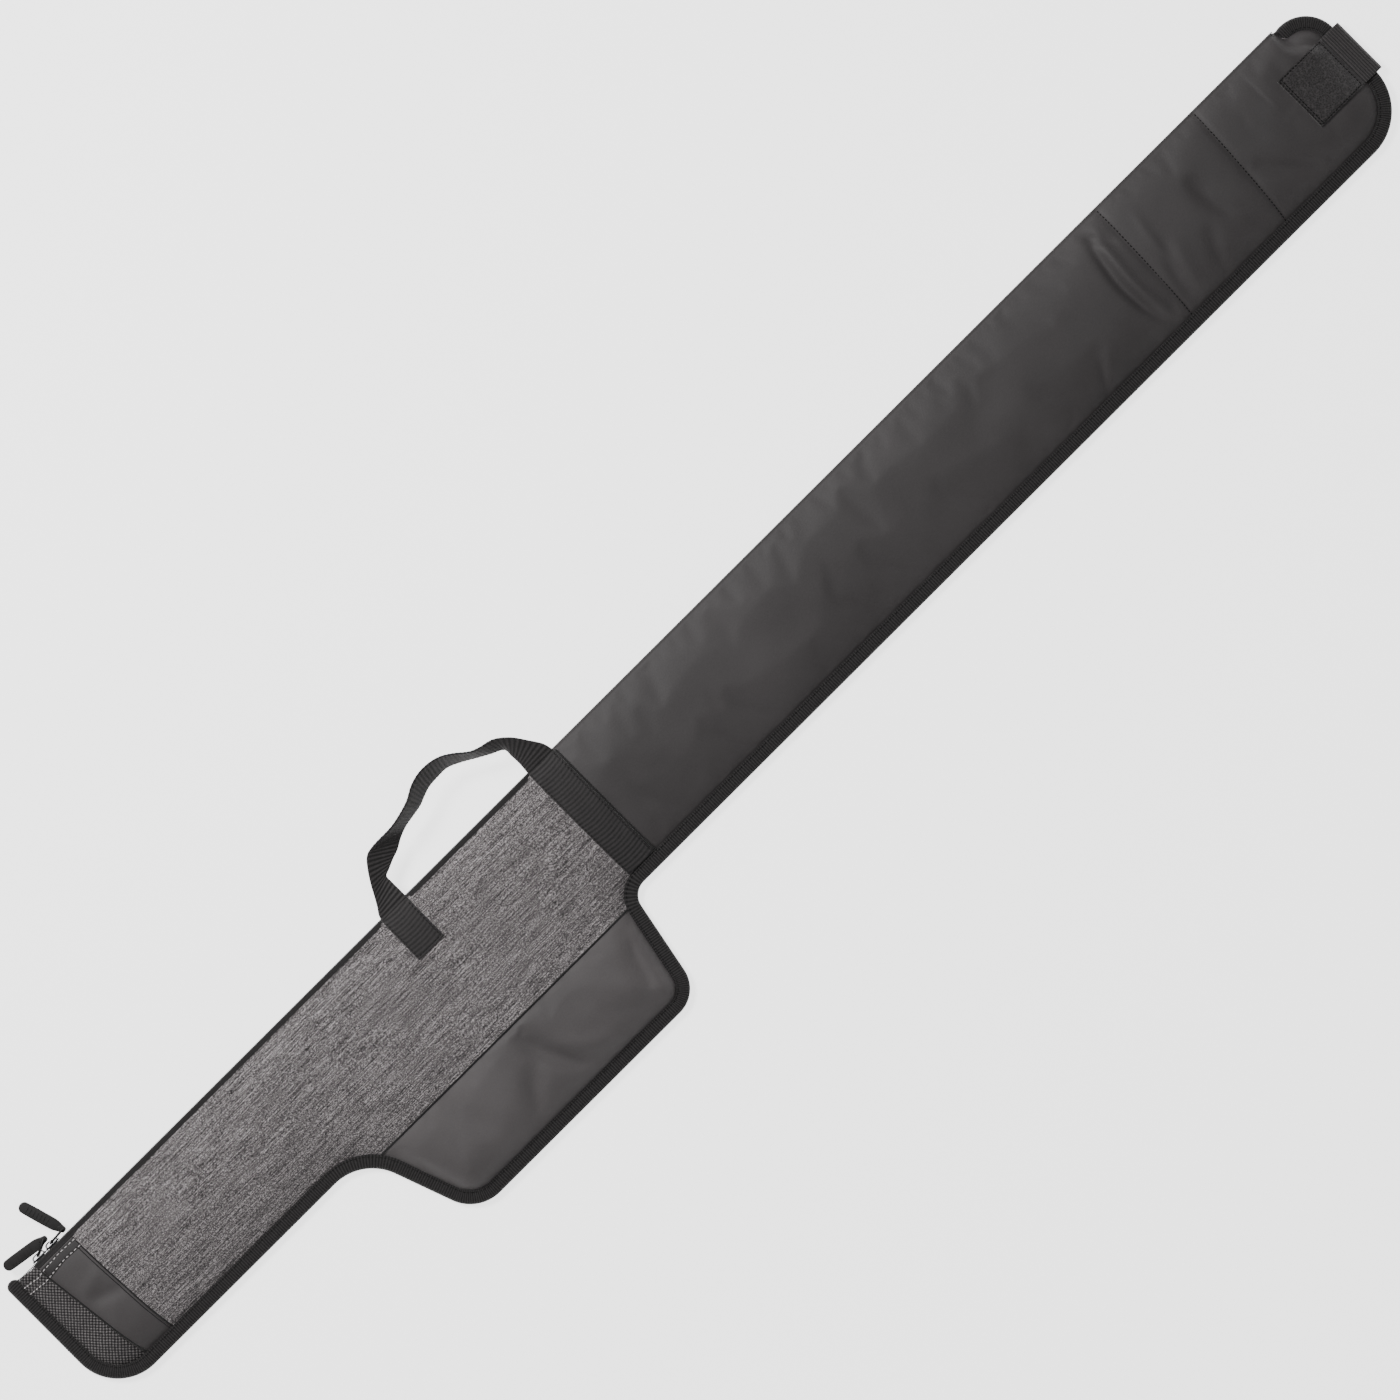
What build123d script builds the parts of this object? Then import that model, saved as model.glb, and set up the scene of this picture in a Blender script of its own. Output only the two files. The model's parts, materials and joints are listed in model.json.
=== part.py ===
"""Soft padded case for a spinning rod.

Frame: the case lies on its back. +X runs from the butt end to the tip, +Y from the reel pouch
to the zip edge, and +Z out of the front. The origin is on the back, in the middle of the tube's
width, at the seam where the grip part ends and the rod tube begins. Millimetres.
"""

from build123d import *
import math
import os

os.makedirs("parts", exist_ok=True)

# ---------------------------------------------------------------- driving dimensions

case_length = 1450.0
grip_width = 121.7
tube_width = 124.5
pouch_depth = 218.5

butt = -595.0
tip = butt + case_length
zip_edge = tube_width / 2
tube_low = zip_edge - tube_width

above_all = 60.0
beyond_edge = 5.0

panel = 1.0
foam = 3.0
lining = 0.6
webbing = 1.2
piping_thick = 1.8
welt_thick = 0.8
welt_half = 0.8

# corners of the flat outline, counter-clockwise from the zip corner of the butt, with their radii
outline_corners = [
    (butt, zip_edge),
    (butt, zip_edge - grip_width),
    (butt + 272.7, zip_edge - grip_width),
    (butt + 307.7, zip_edge - pouch_depth),
    (butt + 555.0, zip_edge - pouch_depth),
    (butt + 573.4, tube_low),
    (tip, tube_low),
    (tip, zip_edge),
]
outline_radii = [4.0, 42.0, 42.0, 34.0, 27.0, 15.0, 47.0, 30.0]
hollow_corners = (2, 5)
least_radius = 2.0

# bound edge: a folded tape that grips the edges of the back and front panels
binding_width = 11.5
binding_leg = 1.2
binding_web = 1.5
binding_low = 2.6
binding_end = tip - 35.0
flange_end = tip - 36.0
ear_length = 12.5
ear_height = 5.5
binding_play = 0.2
edge_low = binding_low + binding_leg
edge_split = edge_low + panel
edge_high = edge_split + panel
binding_high = edge_high + binding_leg

# padded front: (inset of the bound sides, inset of the zip side, height)
shoulder_levels = [(12.0, 0.8, edge_split), (17.5, 0.8, 15.0), (27.0, 12.0, 22.0)]
front_height = shoulder_levels[-1][2]

# padded back
tray_inset = 13.0
foam_inset = 14.3
foam_zip_inset = 13.0
back_foam_top = edge_split - lining

# zip: a chain along the zip edge, standing on the wall between the two halves
zip_recess = 0.8
zip_face = zip_edge - zip_recess
tape = 0.6
chain_z = 9.0
chain_gap = 0.8
coil_width = 2.0
coil_depth = 1.7
zip_start = butt + 13.5
zip_end = tip - 38.0
channel_depth = 12.0
channel_low = 1.0
channel_high = 13.5
stop_length = 2.5
stop_half = 2.6
tape_gap = 0.6
back_tape_low = 1.2
front_tape_high = 15.2

# slider and pull
slider_length = 13.0
slider_width = 8.4
slider_plate = 1.4
slider_neck = 0.5
slider_play = 0.3
slider_corner = 2.5
slider_shoulder = 3.0
slider_flange = 1.0
bridge_side = 1.2
sunk = 0.1
bridge_length = 8.0
bridge_width = 2.2
bridge_window = 2.0
bridge_bar = 1.0
wire = 1.2
link_length = 14.0
link_width = 6.4
link_corner = 1.2
tab_length = 41.0
tab_width = 9.4
tab_neck = 5.0
tab_thick = 2.6
tab_eye = 1.0
tab_head = 2.2
tab_shoulders = (6.0, 10.0)
tab_corner = 1.6

butt_slider_x = butt + 37.4
butt_link_angle = 25.0
butt_tab_angle = 171.5
tip_slider_x = butt + 51.9
tip_link_angle = 5.0
tip_tab_angle = 106.0

# seams of the front: x at the zip edge and x at the bound edge
mesh_seam = (butt + 31.0, butt + 44.0)
band_seam = (butt + 68.0, butt + 73.0)
tube_seam = 0.0
first_cross_seam = (tip - 236.5, tip - 240.0)
second_cross_seam = (tip - 128.0, tip - 135.0)
pouch_seam_y = zip_edge - 131.0
pouch_seam_ends = (butt + 566.0, butt + 581.0)
pouch_notch_y = zip_edge - 117.0
pouch_left = butt + 200.0

# webbing and handle
cross_start = tube_seam - 14.0
cross_end = tube_seam + 14.0
piping_end = cross_end + 2.0
left_patch_start = tube_seam - 178.0
left_patch_end = tube_seam - 150.0
left_patch_length = 43.0
strap_low = 15.5
handle_low = 14.5
handle_leg_top = 18.5
handle_top = 34.0
handle_gap = 1.2
handle_leg_reach = 30.0

# the handle from above, along its outside from the left leg and back along its inside
handle_outline = [
    (left_patch_start + 1, zip_edge + handle_gap),
    (-173, zip_edge + 9),
    (-168, zip_edge + 17),
    (-156, zip_edge + 36.5),
    (-145, zip_edge + 46),
    (-121, zip_edge + 46.5),
    (-97, zip_edge + 52.5),
    (-75, zip_edge + 61.5),
    (-63, zip_edge + 61.5),
    (-45, zip_edge + 54),
    (-33, zip_edge + 44),
    (-13, zip_edge + 39),
    (6, zip_edge + 18.5),
    (cross_end - 1, zip_edge + handle_gap),
    (cross_start + 1, zip_edge + handle_gap),
    (cross_start, zip_edge + 27.5),
    (-32, zip_edge + 37.5),
    (-55, zip_edge + 49),
    (-77, zip_edge + 48),
    (-93, zip_edge + 43),
    (-111, zip_edge + 39.5),
    (-129, zip_edge + 30.5),
    (left_patch_end, zip_edge + 22.5),
    (left_patch_end - 1, zip_edge + handle_gap),
]

# strap at the tip
tip_strap_y = zip_edge - 55.0
tip_strap_width = 50.0
tip_patch_start = tip - 65.0
tip_patch_end = tip - 16.0
flap_start = tip - 54.0
flap_end = tip + 2.0
loop_start = tip - 52.0
recess_start = tip - 56.0
recess_end = tip - 10.0
recess_half = 27.0
recess_floor = 2.5
loop_thick = 1.1

# middle line of the strap round the tip edge: x and height
strap_turn_points = [
    (tip_patch_end + 0.8, 14.0),
    (tip - 9.8, 8.0),
    (tip + 0.6, 7.9),
    (tip + 4.6, 4.6),
    (tip + 3.2, 1.6),
]

# flat straps inside that hold the rod, under the cross seams
inner_straps_x = [tube_seam, tip - 237.0, tip - 131.0]
inner_strap_width = 25.0
inner_strap_thick = 1.0
inner_strap_margins = (20.0, 16.0)


# ---------------------------------------------------------------- shapes that several parts share


def shifted_edge(start, end, inset):
    """A point and a direction of the edge from start to end, moved into the outline by inset."""
    dx = end[0] - start[0]
    dy = end[1] - start[1]
    length = math.hypot(dx, dy)
    return (start[0] - dy / length * inset, start[1] + dx / length * inset), (dx / length, dy / length)


def inset_corners(inset, zip_inset):
    """The outline's corners with its bound sides moved in by inset and its zip side by zip_inset."""
    count = len(outline_corners)
    edges = []
    for i in range(count):
        amount = zip_inset if i == count - 1 else inset
        edges.append(shifted_edge(outline_corners[i], outline_corners[(i + 1) % count], amount))
    corners = []
    for i in range(count):
        (ax, ay), (adx, ady) = edges[i - 1]
        (bx, by), (bdx, bdy) = edges[i]
        along = ((bx - ax) * bdy - (by - ay) * bdx) / (adx * bdy - ady * bdx)
        corners.append((ax + along * adx, ay + along * ady))
    return corners


def inset_radii(inset):
    """The corner radii that belong to an inset: hollow corners grow and the others shrink."""
    radii = []
    for i, radius in enumerate(outline_radii):
        if i in hollow_corners:
            radii.append(radius + inset)
        else:
            radii.append(max(radius - inset, least_radius))
    return radii


def outline_face(inset, zip_inset, height):
    """Draw the outline, moved in, as a sketch at a height in the active part."""
    with BuildSketch(Plane.XY.offset(height)) as face:
        with BuildLine():
            FilletPolyline(*inset_corners(inset, zip_inset), radius=inset_radii(inset), close=True)
        make_face()
    return face.sketch


def slab(inset, zip_inset, low, high, mode=Mode.ADD):
    """A flat slab of the outline in the active part, from low to high."""
    extrude(outline_face(inset, zip_inset, low), amount=high - low, mode=mode)


def dome(depth, mode=Mode.ADD):
    """The padded front's solid in the active part, shrunk by depth all round except at its base."""
    base = shoulder_levels[0][2]
    faces = []
    for inset, zip_inset, height in shoulder_levels:
        lowered = height - depth * (height - base) / (front_height - base)
        faces.append(outline_face(inset + depth, zip_inset + depth, lowered))
    loft(faces, ruled=True, mode=mode)


def block(low, high, mode=Mode.SUBTRACT):
    """A box in the active part between two corners."""
    centre = [(a + b) / 2 for a, b in zip(low, high)]
    size = [b - a for a, b in zip(low, high)]
    with Locations(tuple(centre)):
        Box(*size, mode=mode)


def cut_zip_channel():
    """Clear the room behind the zip in the active part."""
    block(
        (zip_start, zip_edge - channel_depth, channel_low),
        (zip_end, zip_edge + beyond_edge, channel_high),
    )


def keep_between(left, right):
    """Keep the stretch of the active part between two seams, each (x at the zip, x at the bound edge)."""
    past = pouch_depth / tube_width
    left_foot = left[0] + (left[1] - left[0]) * past
    right_foot = right[0] + (right[1] - right[0]) * past
    with BuildSketch() as region:
        with BuildLine():
            Polyline(
                (left[0], zip_edge),
                (left_foot, zip_edge - pouch_depth),
                (right_foot, zip_edge - pouch_depth),
                (right[0], zip_edge),
                close=True,
            )
        make_face()
    extrude(region.sketch, amount=above_all, mode=Mode.INTERSECT)


def front_skin():
    """The whole outer skin of the front in the active part, with the edge that the binding grips."""
    dome(0)
    slab(binding_web, binding_web, edge_split, edge_high)
    dome(panel, mode=Mode.SUBTRACT)
    cut_zip_channel()
    block((zip_start, zip_edge - channel_depth, 0), (zip_end, zip_edge + beyond_edge, edge_high))
    clear_of_binding()


def pouch_region(mode):
    """Everything on the reel pouch's side of the pouch seam, added, cut or kept in the active part."""
    with BuildSketch() as region:
        with BuildLine():
            Polyline(
                (pouch_left, pouch_seam_y),
                (pouch_seam_ends[0], pouch_seam_y),
                (pouch_seam_ends[1], pouch_notch_y),
                (tube_seam, pouch_notch_y),
                (tube_seam, zip_edge - pouch_depth),
                (pouch_left, zip_edge - pouch_depth),
                close=True,
            )
        make_face()
    extrude(region.sketch, amount=above_all, mode=mode)


def laid_on_front(thick, low, high):
    """A layer of the given thickness that lies on the front between two corners, in plan."""
    dome(-thick)
    dome(0, mode=Mode.SUBTRACT)
    block((low[0], low[1], binding_high + binding_play), (high[0], high[1], above_all), mode=Mode.INTERSECT)
    block((butt, zip_edge - channel_depth, 0), (tip, zip_edge + beyond_edge, strap_low))


def clear_of_binding():
    """Cut the binding's room out of the active part, where the corners of the two differ."""
    add(edge_binding.part, mode=Mode.SUBTRACT)


# ---------------------------------------------------------------- bound edge

with BuildPart() as edge_binding:
    slab(0, 0, binding_low, binding_high)
    slab(binding_width, binding_width, binding_low - 1, binding_high + 1, mode=Mode.SUBTRACT)
    slab(binding_web, binding_web, edge_low, edge_high, mode=Mode.SUBTRACT)
    block((zip_start, zip_edge - binding_width - 3, 0), (binding_end, zip_edge, above_all))
    block((butt, zip_edge - 2, binding_low), (butt + ear_length, zip_edge + ear_height, binding_high), mode=Mode.ADD)
edge_binding.part.label = "edge_binding"
export_step(edge_binding.part, "parts/edge_binding.step")

# ---------------------------------------------------------------- back half

recess_low = (recess_start, tip_strap_y - recess_half)
recess_high = (recess_end, tip_strap_y + recess_half)

with BuildPart() as back_panel:
    slab(tray_inset, zip_recess, 0, edge_split)
    slab(tray_inset + panel, zip_recess + panel, panel, edge_split, mode=Mode.SUBTRACT)
    block(
        (recess_low[0] - panel, recess_low[1] - panel, 0),
        (tip - tray_inset, recess_high[1] + panel, recess_floor + panel),
        mode=Mode.ADD,
    )
    block((*recess_low, -1), (*recess_high, recess_floor))
    slab(binding_web, binding_web, edge_low, edge_split)
    slab(tray_inset + panel, zip_recess + panel, recess_floor + panel, edge_split, mode=Mode.SUBTRACT)
    block((butt + tray_inset + panel, zip_edge - channel_depth, edge_low), (flange_end, zip_edge, edge_split))
    clear_of_binding()
back_panel.part.label = "back_panel"
export_step(back_panel.part, "parts/back_panel.step")

with BuildPart() as back_padding:
    slab(foam_inset, foam_zip_inset, panel, back_foam_top)
    block(
        (recess_low[0] - panel, recess_low[1] - panel, 0),
        (tip, recess_high[1] + panel, recess_floor + panel),
    )
back_padding.part.label = "back_padding"
export_step(back_padding.part, "parts/back_padding.step")

with BuildPart() as back_lining:
    slab(foam_inset, foam_zip_inset, back_foam_top, edge_split)
back_lining.part.label = "back_lining"
export_step(back_lining.part, "parts/back_lining.step")

with BuildPart() as tip_loop_patch:
    block(
        (loop_start, tip_strap_y - tip_strap_width / 2, recess_floor - loop_thick),
        (tip_patch_end, tip_strap_y + tip_strap_width / 2, recess_floor),
        mode=Mode.ADD,
    )
tip_loop_patch.part.label = "tip_loop_patch"
export_step(tip_loop_patch.part, "parts/tip_loop_patch.step")

with BuildPart() as inner_rod_straps:
    for strap_x in inner_straps_x:
        block(
            (strap_x - inner_strap_width / 2, tube_low + inner_strap_margins[0], edge_split),
            (strap_x + inner_strap_width / 2, zip_edge - inner_strap_margins[1], edge_split + inner_strap_thick),
            mode=Mode.ADD,
        )
inner_rod_straps.part.label = "inner_rod_straps"
export_step(inner_rod_straps.part, "parts/inner_rod_straps.step")

# ---------------------------------------------------------------- front half

with BuildPart() as butt_mesh_panel:
    front_skin()
    keep_between((butt, butt), mesh_seam)
butt_mesh_panel.part.label = "butt_mesh_panel"
export_step(butt_mesh_panel.part, "parts/butt_mesh_panel.step")

with BuildPart() as butt_band_panel:
    front_skin()
    keep_between(mesh_seam, band_seam)
butt_band_panel.part.label = "butt_band_panel"
export_step(butt_band_panel.part, "parts/butt_band_panel.step")

with BuildPart() as front_grip_panel:
    front_skin()
    keep_between(band_seam, (tube_seam, tube_seam))
    pouch_region(Mode.SUBTRACT)
front_grip_panel.part.label = "front_grip_panel"
export_step(front_grip_panel.part, "parts/front_grip_panel.step")

with BuildPart() as reel_pouch_panel:
    front_skin()
    pouch_region(Mode.INTERSECT)
reel_pouch_panel.part.label = "reel_pouch_panel"
export_step(reel_pouch_panel.part, "parts/reel_pouch_panel.step")

with BuildPart() as rod_tube_panel:
    front_skin()
    keep_between((tube_seam, tube_seam), first_cross_seam)
rod_tube_panel.part.label = "rod_tube_panel"
export_step(rod_tube_panel.part, "parts/rod_tube_panel.step")

with BuildPart() as tube_middle_panel:
    front_skin()
    keep_between(first_cross_seam, second_cross_seam)
tube_middle_panel.part.label = "tube_middle_panel"
export_step(tube_middle_panel.part, "parts/tube_middle_panel.step")

with BuildPart() as tube_tip_panel:
    front_skin()
    keep_between(second_cross_seam, (tip, tip))
tube_tip_panel.part.label = "tube_tip_panel"
export_step(tube_tip_panel.part, "parts/tube_tip_panel.step")

with BuildPart() as front_padding:
    dome(panel)
    dome(panel + foam, mode=Mode.SUBTRACT)
    cut_zip_channel()
    clear_of_binding()
front_padding.part.label = "front_padding"
export_step(front_padding.part, "parts/front_padding.step")

with BuildPart() as front_lining:
    dome(panel + foam)
    dome(panel + foam + lining, mode=Mode.SUBTRACT)
    cut_zip_channel()
    clear_of_binding()
front_lining.part.label = "front_lining"
export_step(front_lining.part, "parts/front_lining.step")

# ---------------------------------------------------------------- edge, seams and webbing

with BuildPart() as cross_webbing:
    laid_on_front(webbing, (cross_start, tube_low), (cross_end, zip_edge + beyond_edge))
cross_webbing.part.label = "cross_webbing"
export_step(cross_webbing.part, "parts/cross_webbing.step")

with BuildPart() as cross_piping:
    laid_on_front(piping_thick, (cross_end, tube_low), (piping_end, zip_edge + beyond_edge))
cross_piping.part.label = "cross_piping"
export_step(cross_piping.part, "parts/cross_piping.step")

with BuildPart() as pouch_welt:
    laid_on_front(
        welt_thick,
        (pouch_left, pouch_seam_y - welt_half),
        (pouch_seam_ends[0], pouch_seam_y + welt_half),
    )
pouch_welt.part.label = "pouch_welt"
export_step(pouch_welt.part, "parts/pouch_welt.step")

with BuildPart() as handle_left_patch:
    laid_on_front(
        webbing,
        (left_patch_start, zip_edge - left_patch_length),
        (left_patch_end, zip_edge + beyond_edge),
    )
handle_left_patch.part.label = "handle_left_patch"
export_step(handle_left_patch.part, "parts/handle_left_patch.step")

with BuildPart() as tip_strap_patch:
    laid_on_front(
        webbing,
        (tip_patch_start, tip_strap_y - tip_strap_width / 2),
        (tip_patch_end, tip_strap_y + tip_strap_width / 2),
    )
tip_strap_patch.part.label = "tip_strap_patch"
export_step(tip_strap_patch.part, "parts/tip_strap_patch.step")

# the strap goes over the binding and round the tip edge, clear of both
with BuildPart() as tip_strap_turn:
    with BuildSketch(Plane.XZ.offset(-tip_strap_y - tip_strap_width / 2)):
        with BuildLine() as turn_path:
            Polyline(*strap_turn_points)
        trace(turn_path.line, line_width=webbing)
    extrude(amount=tip_strap_width)
tip_strap_turn.part.label = "tip_strap_turn"
export_step(tip_strap_turn.part, "parts/tip_strap_turn.step")

with BuildPart() as tip_strap_flap:
    block(
        (flap_start, tip_strap_y - tip_strap_width / 2, 0),
        (flap_end, tip_strap_y + tip_strap_width / 2, webbing),
        mode=Mode.ADD,
    )
tip_strap_flap.part.label = "tip_strap_flap"
export_step(tip_strap_flap.part, "parts/tip_strap_flap.step")

# carry handle: two flat legs at the zip edge, and an arch that stands on its edge
with BuildPart() as handle_loop:
    with BuildSketch(Plane.XY.offset(handle_low)):
        with BuildLine():
            Polyline(*handle_outline, close=True)
        make_face()
    extrude(amount=handle_top - handle_low)
    for leg_start, leg_end in ((left_patch_start, left_patch_end), (cross_start, cross_end)):
        block((leg_start, zip_edge, handle_leg_top), (leg_end, zip_edge + handle_leg_reach, handle_top))
handle_loop.part.label = "handle_loop"
export_step(handle_loop.part, "parts/handle_loop.step")

# ---------------------------------------------------------------- zip

coil_face = zip_face + tape

with BuildPart() as zip_tape_back:
    block((zip_start, zip_face, back_tape_low), (zip_end, coil_face, chain_z - tape_gap), mode=Mode.ADD)
zip_tape_back.part.label = "zip_tape_back"
export_step(zip_tape_back.part, "parts/zip_tape_back.step")

with BuildPart() as zip_tape_front:
    block((zip_start, zip_face, chain_z + tape_gap), (zip_end, coil_face, front_tape_high), mode=Mode.ADD)
zip_tape_front.part.label = "zip_tape_front"
export_step(zip_tape_front.part, "parts/zip_tape_front.step")

coil_low = (zip_start + stop_length, coil_face)
coil_high = (zip_end - stop_length, coil_face + coil_depth)

with BuildPart() as zip_coil_back:
    coil_top = chain_z - chain_gap / 2
    block((*coil_low, coil_top - coil_width), (*coil_high, coil_top), mode=Mode.ADD)
zip_coil_back.part.label = "zip_coil_back"
export_step(zip_coil_back.part, "parts/zip_coil_back.step")

with BuildPart() as zip_coil_front:
    coil_bottom = chain_z + chain_gap / 2
    block((*coil_low, coil_bottom), (*coil_high, coil_bottom + coil_width), mode=Mode.ADD)
zip_coil_front.part.label = "zip_coil_front"
export_step(zip_coil_front.part, "parts/zip_coil_front.step")


def end_stop(start_x):
    """A metal end stop across both coils in the active part."""
    block(
        (start_x, coil_face, chain_z - stop_half),
        (start_x + stop_length, coil_face + coil_depth, chain_z + stop_half),
        mode=Mode.ADD,
    )


with BuildPart() as zip_stop_butt:
    end_stop(zip_start)
zip_stop_butt.part.label = "zip_stop_butt"
export_step(zip_stop_butt.part, "parts/zip_stop_butt.step")

with BuildPart() as zip_stop_tip:
    end_stop(zip_end - stop_length)
zip_stop_tip.part.label = "zip_stop_tip"
export_step(zip_stop_tip.part, "parts/zip_stop_tip.step")

plate_inside = coil_face + coil_depth + slider_play
plate_outside = plate_inside + slider_plate
bridge_y = plate_outside + bridge_window


def slider_body(centre_x):
    """A slider in the active part: two plates joined through the chain's gap, and a bridge."""
    half = slider_length / 2
    low_z = chain_z - slider_width / 2
    high_z = chain_z + slider_width / 2
    block((centre_x - half, plate_inside, low_z), (centre_x + half, plate_outside, high_z), mode=Mode.ADD)
    block(
        (centre_x - half, zip_face - slider_play - slider_plate, low_z),
        (centre_x + half, zip_face - slider_play, high_z),
        mode=Mode.ADD,
    )
    fillet(edges().filter_by(Axis.Y), radius=slider_corner)
    block(
        (centre_x - half + slider_shoulder, zip_face - slider_play - sunk, chain_z - slider_neck / 2),
        (centre_x + half - slider_shoulder, plate_inside + sunk, chain_z + slider_neck / 2),
        mode=Mode.ADD,
    )
    for flange_z in (low_z, high_z - slider_flange):
        block(
            (centre_x - half + slider_shoulder, coil_face + slider_play, flange_z),
            (centre_x + half - slider_shoulder, plate_inside + sunk, flange_z + slider_flange),
            mode=Mode.ADD,
        )
    block(
        (centre_x - bridge_length / 2, plate_outside - sunk, chain_z - bridge_width / 2),
        (centre_x + bridge_length / 2, bridge_y + bridge_bar, chain_z + bridge_width / 2),
        mode=Mode.ADD,
    )
    block(
        (centre_x - bridge_length / 2 + bridge_side, plate_outside, chain_z - bridge_width),
        (centre_x + bridge_length / 2 - bridge_side, bridge_y, chain_z + bridge_width),
    )


def pivot(centre_x):
    """The point on a slider's bridge that its link turns about."""
    return Vector(centre_x, plate_outside + bridge_window / 2, chain_z)


def link_end(centre_x, angle):
    """The point at the far end of a link that its tab turns about."""
    return pivot(centre_x) + Vector(link_length, 0, 0).rotate(Axis.Z, angle)


def pull_link(centre_x, angle):
    """A wire loop in the active part, from the slider's bridge along an angle in plan."""
    along = Vector(1, 0, 0).rotate(Axis.Z, angle)
    side = Vector(0, 0, 1).cross(along)
    with BuildSketch(Plane(origin=pivot(centre_x), x_dir=along, z_dir=side * -1)) as loop:
        with Locations((link_length / 2, 0)):
            RectangleRounded(link_length + wire, link_width + 2 * wire, link_corner + wire * 2 / 3)
            RectangleRounded(link_length - wire, link_width, link_corner, mode=Mode.SUBTRACT)
    extrude(loop.sketch, amount=wire / 2, both=True)


def pull_tab(centre_x, link_angle, tab_angle):
    """A moulded pull in the active part, hung on the far end of a link."""
    along = Vector(1, 0, 0).rotate(Axis.Z, tab_angle)
    with BuildSketch(Plane(origin=link_end(centre_x, link_angle), x_dir=along, z_dir=(0, 0, 1))) as flat:
        with BuildLine():
            Polyline(
                (-tab_head, -tab_neck / 2),
                (tab_shoulders[0], -tab_neck / 2),
                (tab_shoulders[1], -tab_width / 2),
                (tab_length - tab_head, -tab_width / 2),
                (tab_length - tab_head, tab_width / 2),
                (tab_shoulders[1], tab_width / 2),
                (tab_shoulders[0], tab_neck / 2),
                (-tab_head, tab_neck / 2),
                close=True,
            )
        make_face()
        fillet(flat.vertices(), radius=tab_corner)
        Circle(tab_eye, mode=Mode.SUBTRACT)
    extrude(flat.sketch, amount=tab_thick / 2, both=True)


with BuildPart() as butt_slider_body:
    slider_body(butt_slider_x)
butt_slider_body.part.label = "butt_slider_body"
export_step(butt_slider_body.part, "parts/butt_slider_body.step")

with BuildPart() as butt_slider_link:
    pull_link(butt_slider_x, butt_link_angle)
butt_slider_link.part.label = "butt_slider_link"
export_step(butt_slider_link.part, "parts/butt_slider_link.step")

with BuildPart() as butt_slider_tab:
    pull_tab(butt_slider_x, butt_link_angle, butt_tab_angle)
butt_slider_tab.part.label = "butt_slider_tab"
export_step(butt_slider_tab.part, "parts/butt_slider_tab.step")

with BuildPart() as tip_slider_body:
    slider_body(tip_slider_x)
tip_slider_body.part.label = "tip_slider_body"
export_step(tip_slider_body.part, "parts/tip_slider_body.step")

with BuildPart() as tip_slider_link:
    pull_link(tip_slider_x, tip_link_angle)
tip_slider_link.part.label = "tip_slider_link"
export_step(tip_slider_link.part, "parts/tip_slider_link.step")

with BuildPart() as tip_slider_tab:
    pull_tab(tip_slider_x, tip_link_angle, tip_tab_angle)
tip_slider_tab.part.label = "tip_slider_tab"
export_step(tip_slider_tab.part, "parts/tip_slider_tab.step")
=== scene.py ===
import json
import math

import bpy
import numpy as np
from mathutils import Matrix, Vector, kdtree, noise
from mathutils.bvhtree import BVHTree


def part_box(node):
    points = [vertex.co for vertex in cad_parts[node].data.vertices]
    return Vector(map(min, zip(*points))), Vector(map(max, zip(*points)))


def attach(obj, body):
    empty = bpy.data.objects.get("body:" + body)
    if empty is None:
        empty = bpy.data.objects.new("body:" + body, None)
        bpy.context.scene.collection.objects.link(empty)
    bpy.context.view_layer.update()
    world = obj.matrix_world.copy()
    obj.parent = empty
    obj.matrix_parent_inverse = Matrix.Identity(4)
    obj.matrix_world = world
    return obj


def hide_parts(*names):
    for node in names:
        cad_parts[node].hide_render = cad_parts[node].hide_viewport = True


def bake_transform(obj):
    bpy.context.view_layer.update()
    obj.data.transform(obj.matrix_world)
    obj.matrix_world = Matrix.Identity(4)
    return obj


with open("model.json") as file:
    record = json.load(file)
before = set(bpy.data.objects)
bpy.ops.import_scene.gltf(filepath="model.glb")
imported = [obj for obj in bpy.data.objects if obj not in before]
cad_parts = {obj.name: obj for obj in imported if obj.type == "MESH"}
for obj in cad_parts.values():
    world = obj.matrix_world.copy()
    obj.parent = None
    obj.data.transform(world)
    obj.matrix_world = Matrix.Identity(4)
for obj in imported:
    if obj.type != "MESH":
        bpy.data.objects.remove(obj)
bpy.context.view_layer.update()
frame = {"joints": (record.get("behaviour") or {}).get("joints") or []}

# ---------------------------------------------------------------- the case's own measures
# Lengths along the case count from the butt, depths from the zip edge towards the pouch, heights
# from the back. All in millimetres until place() turns them into the frame's metres.

MM = 0.001
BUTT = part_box("edge_binding")[0][0]
ZIP_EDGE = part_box("zip_tape_front")[1][1] + 0.2 * MM
LENGTH = 1450.0
TUBE_WIDTH = 124.5
TOP = 22.2  # height of the padded front
RIM = 6.0  # height of the front under its binding
CHAIN_Z = 9.0  # height of the zip's chain
BINDING_REACH = 10.5  # how far in from the edge the binding holds the front down
PANEL_INSET = 8.5  # where the panels end under the binding
CLOTH = 0.9  # thickness of the coated and woven cloth

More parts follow.
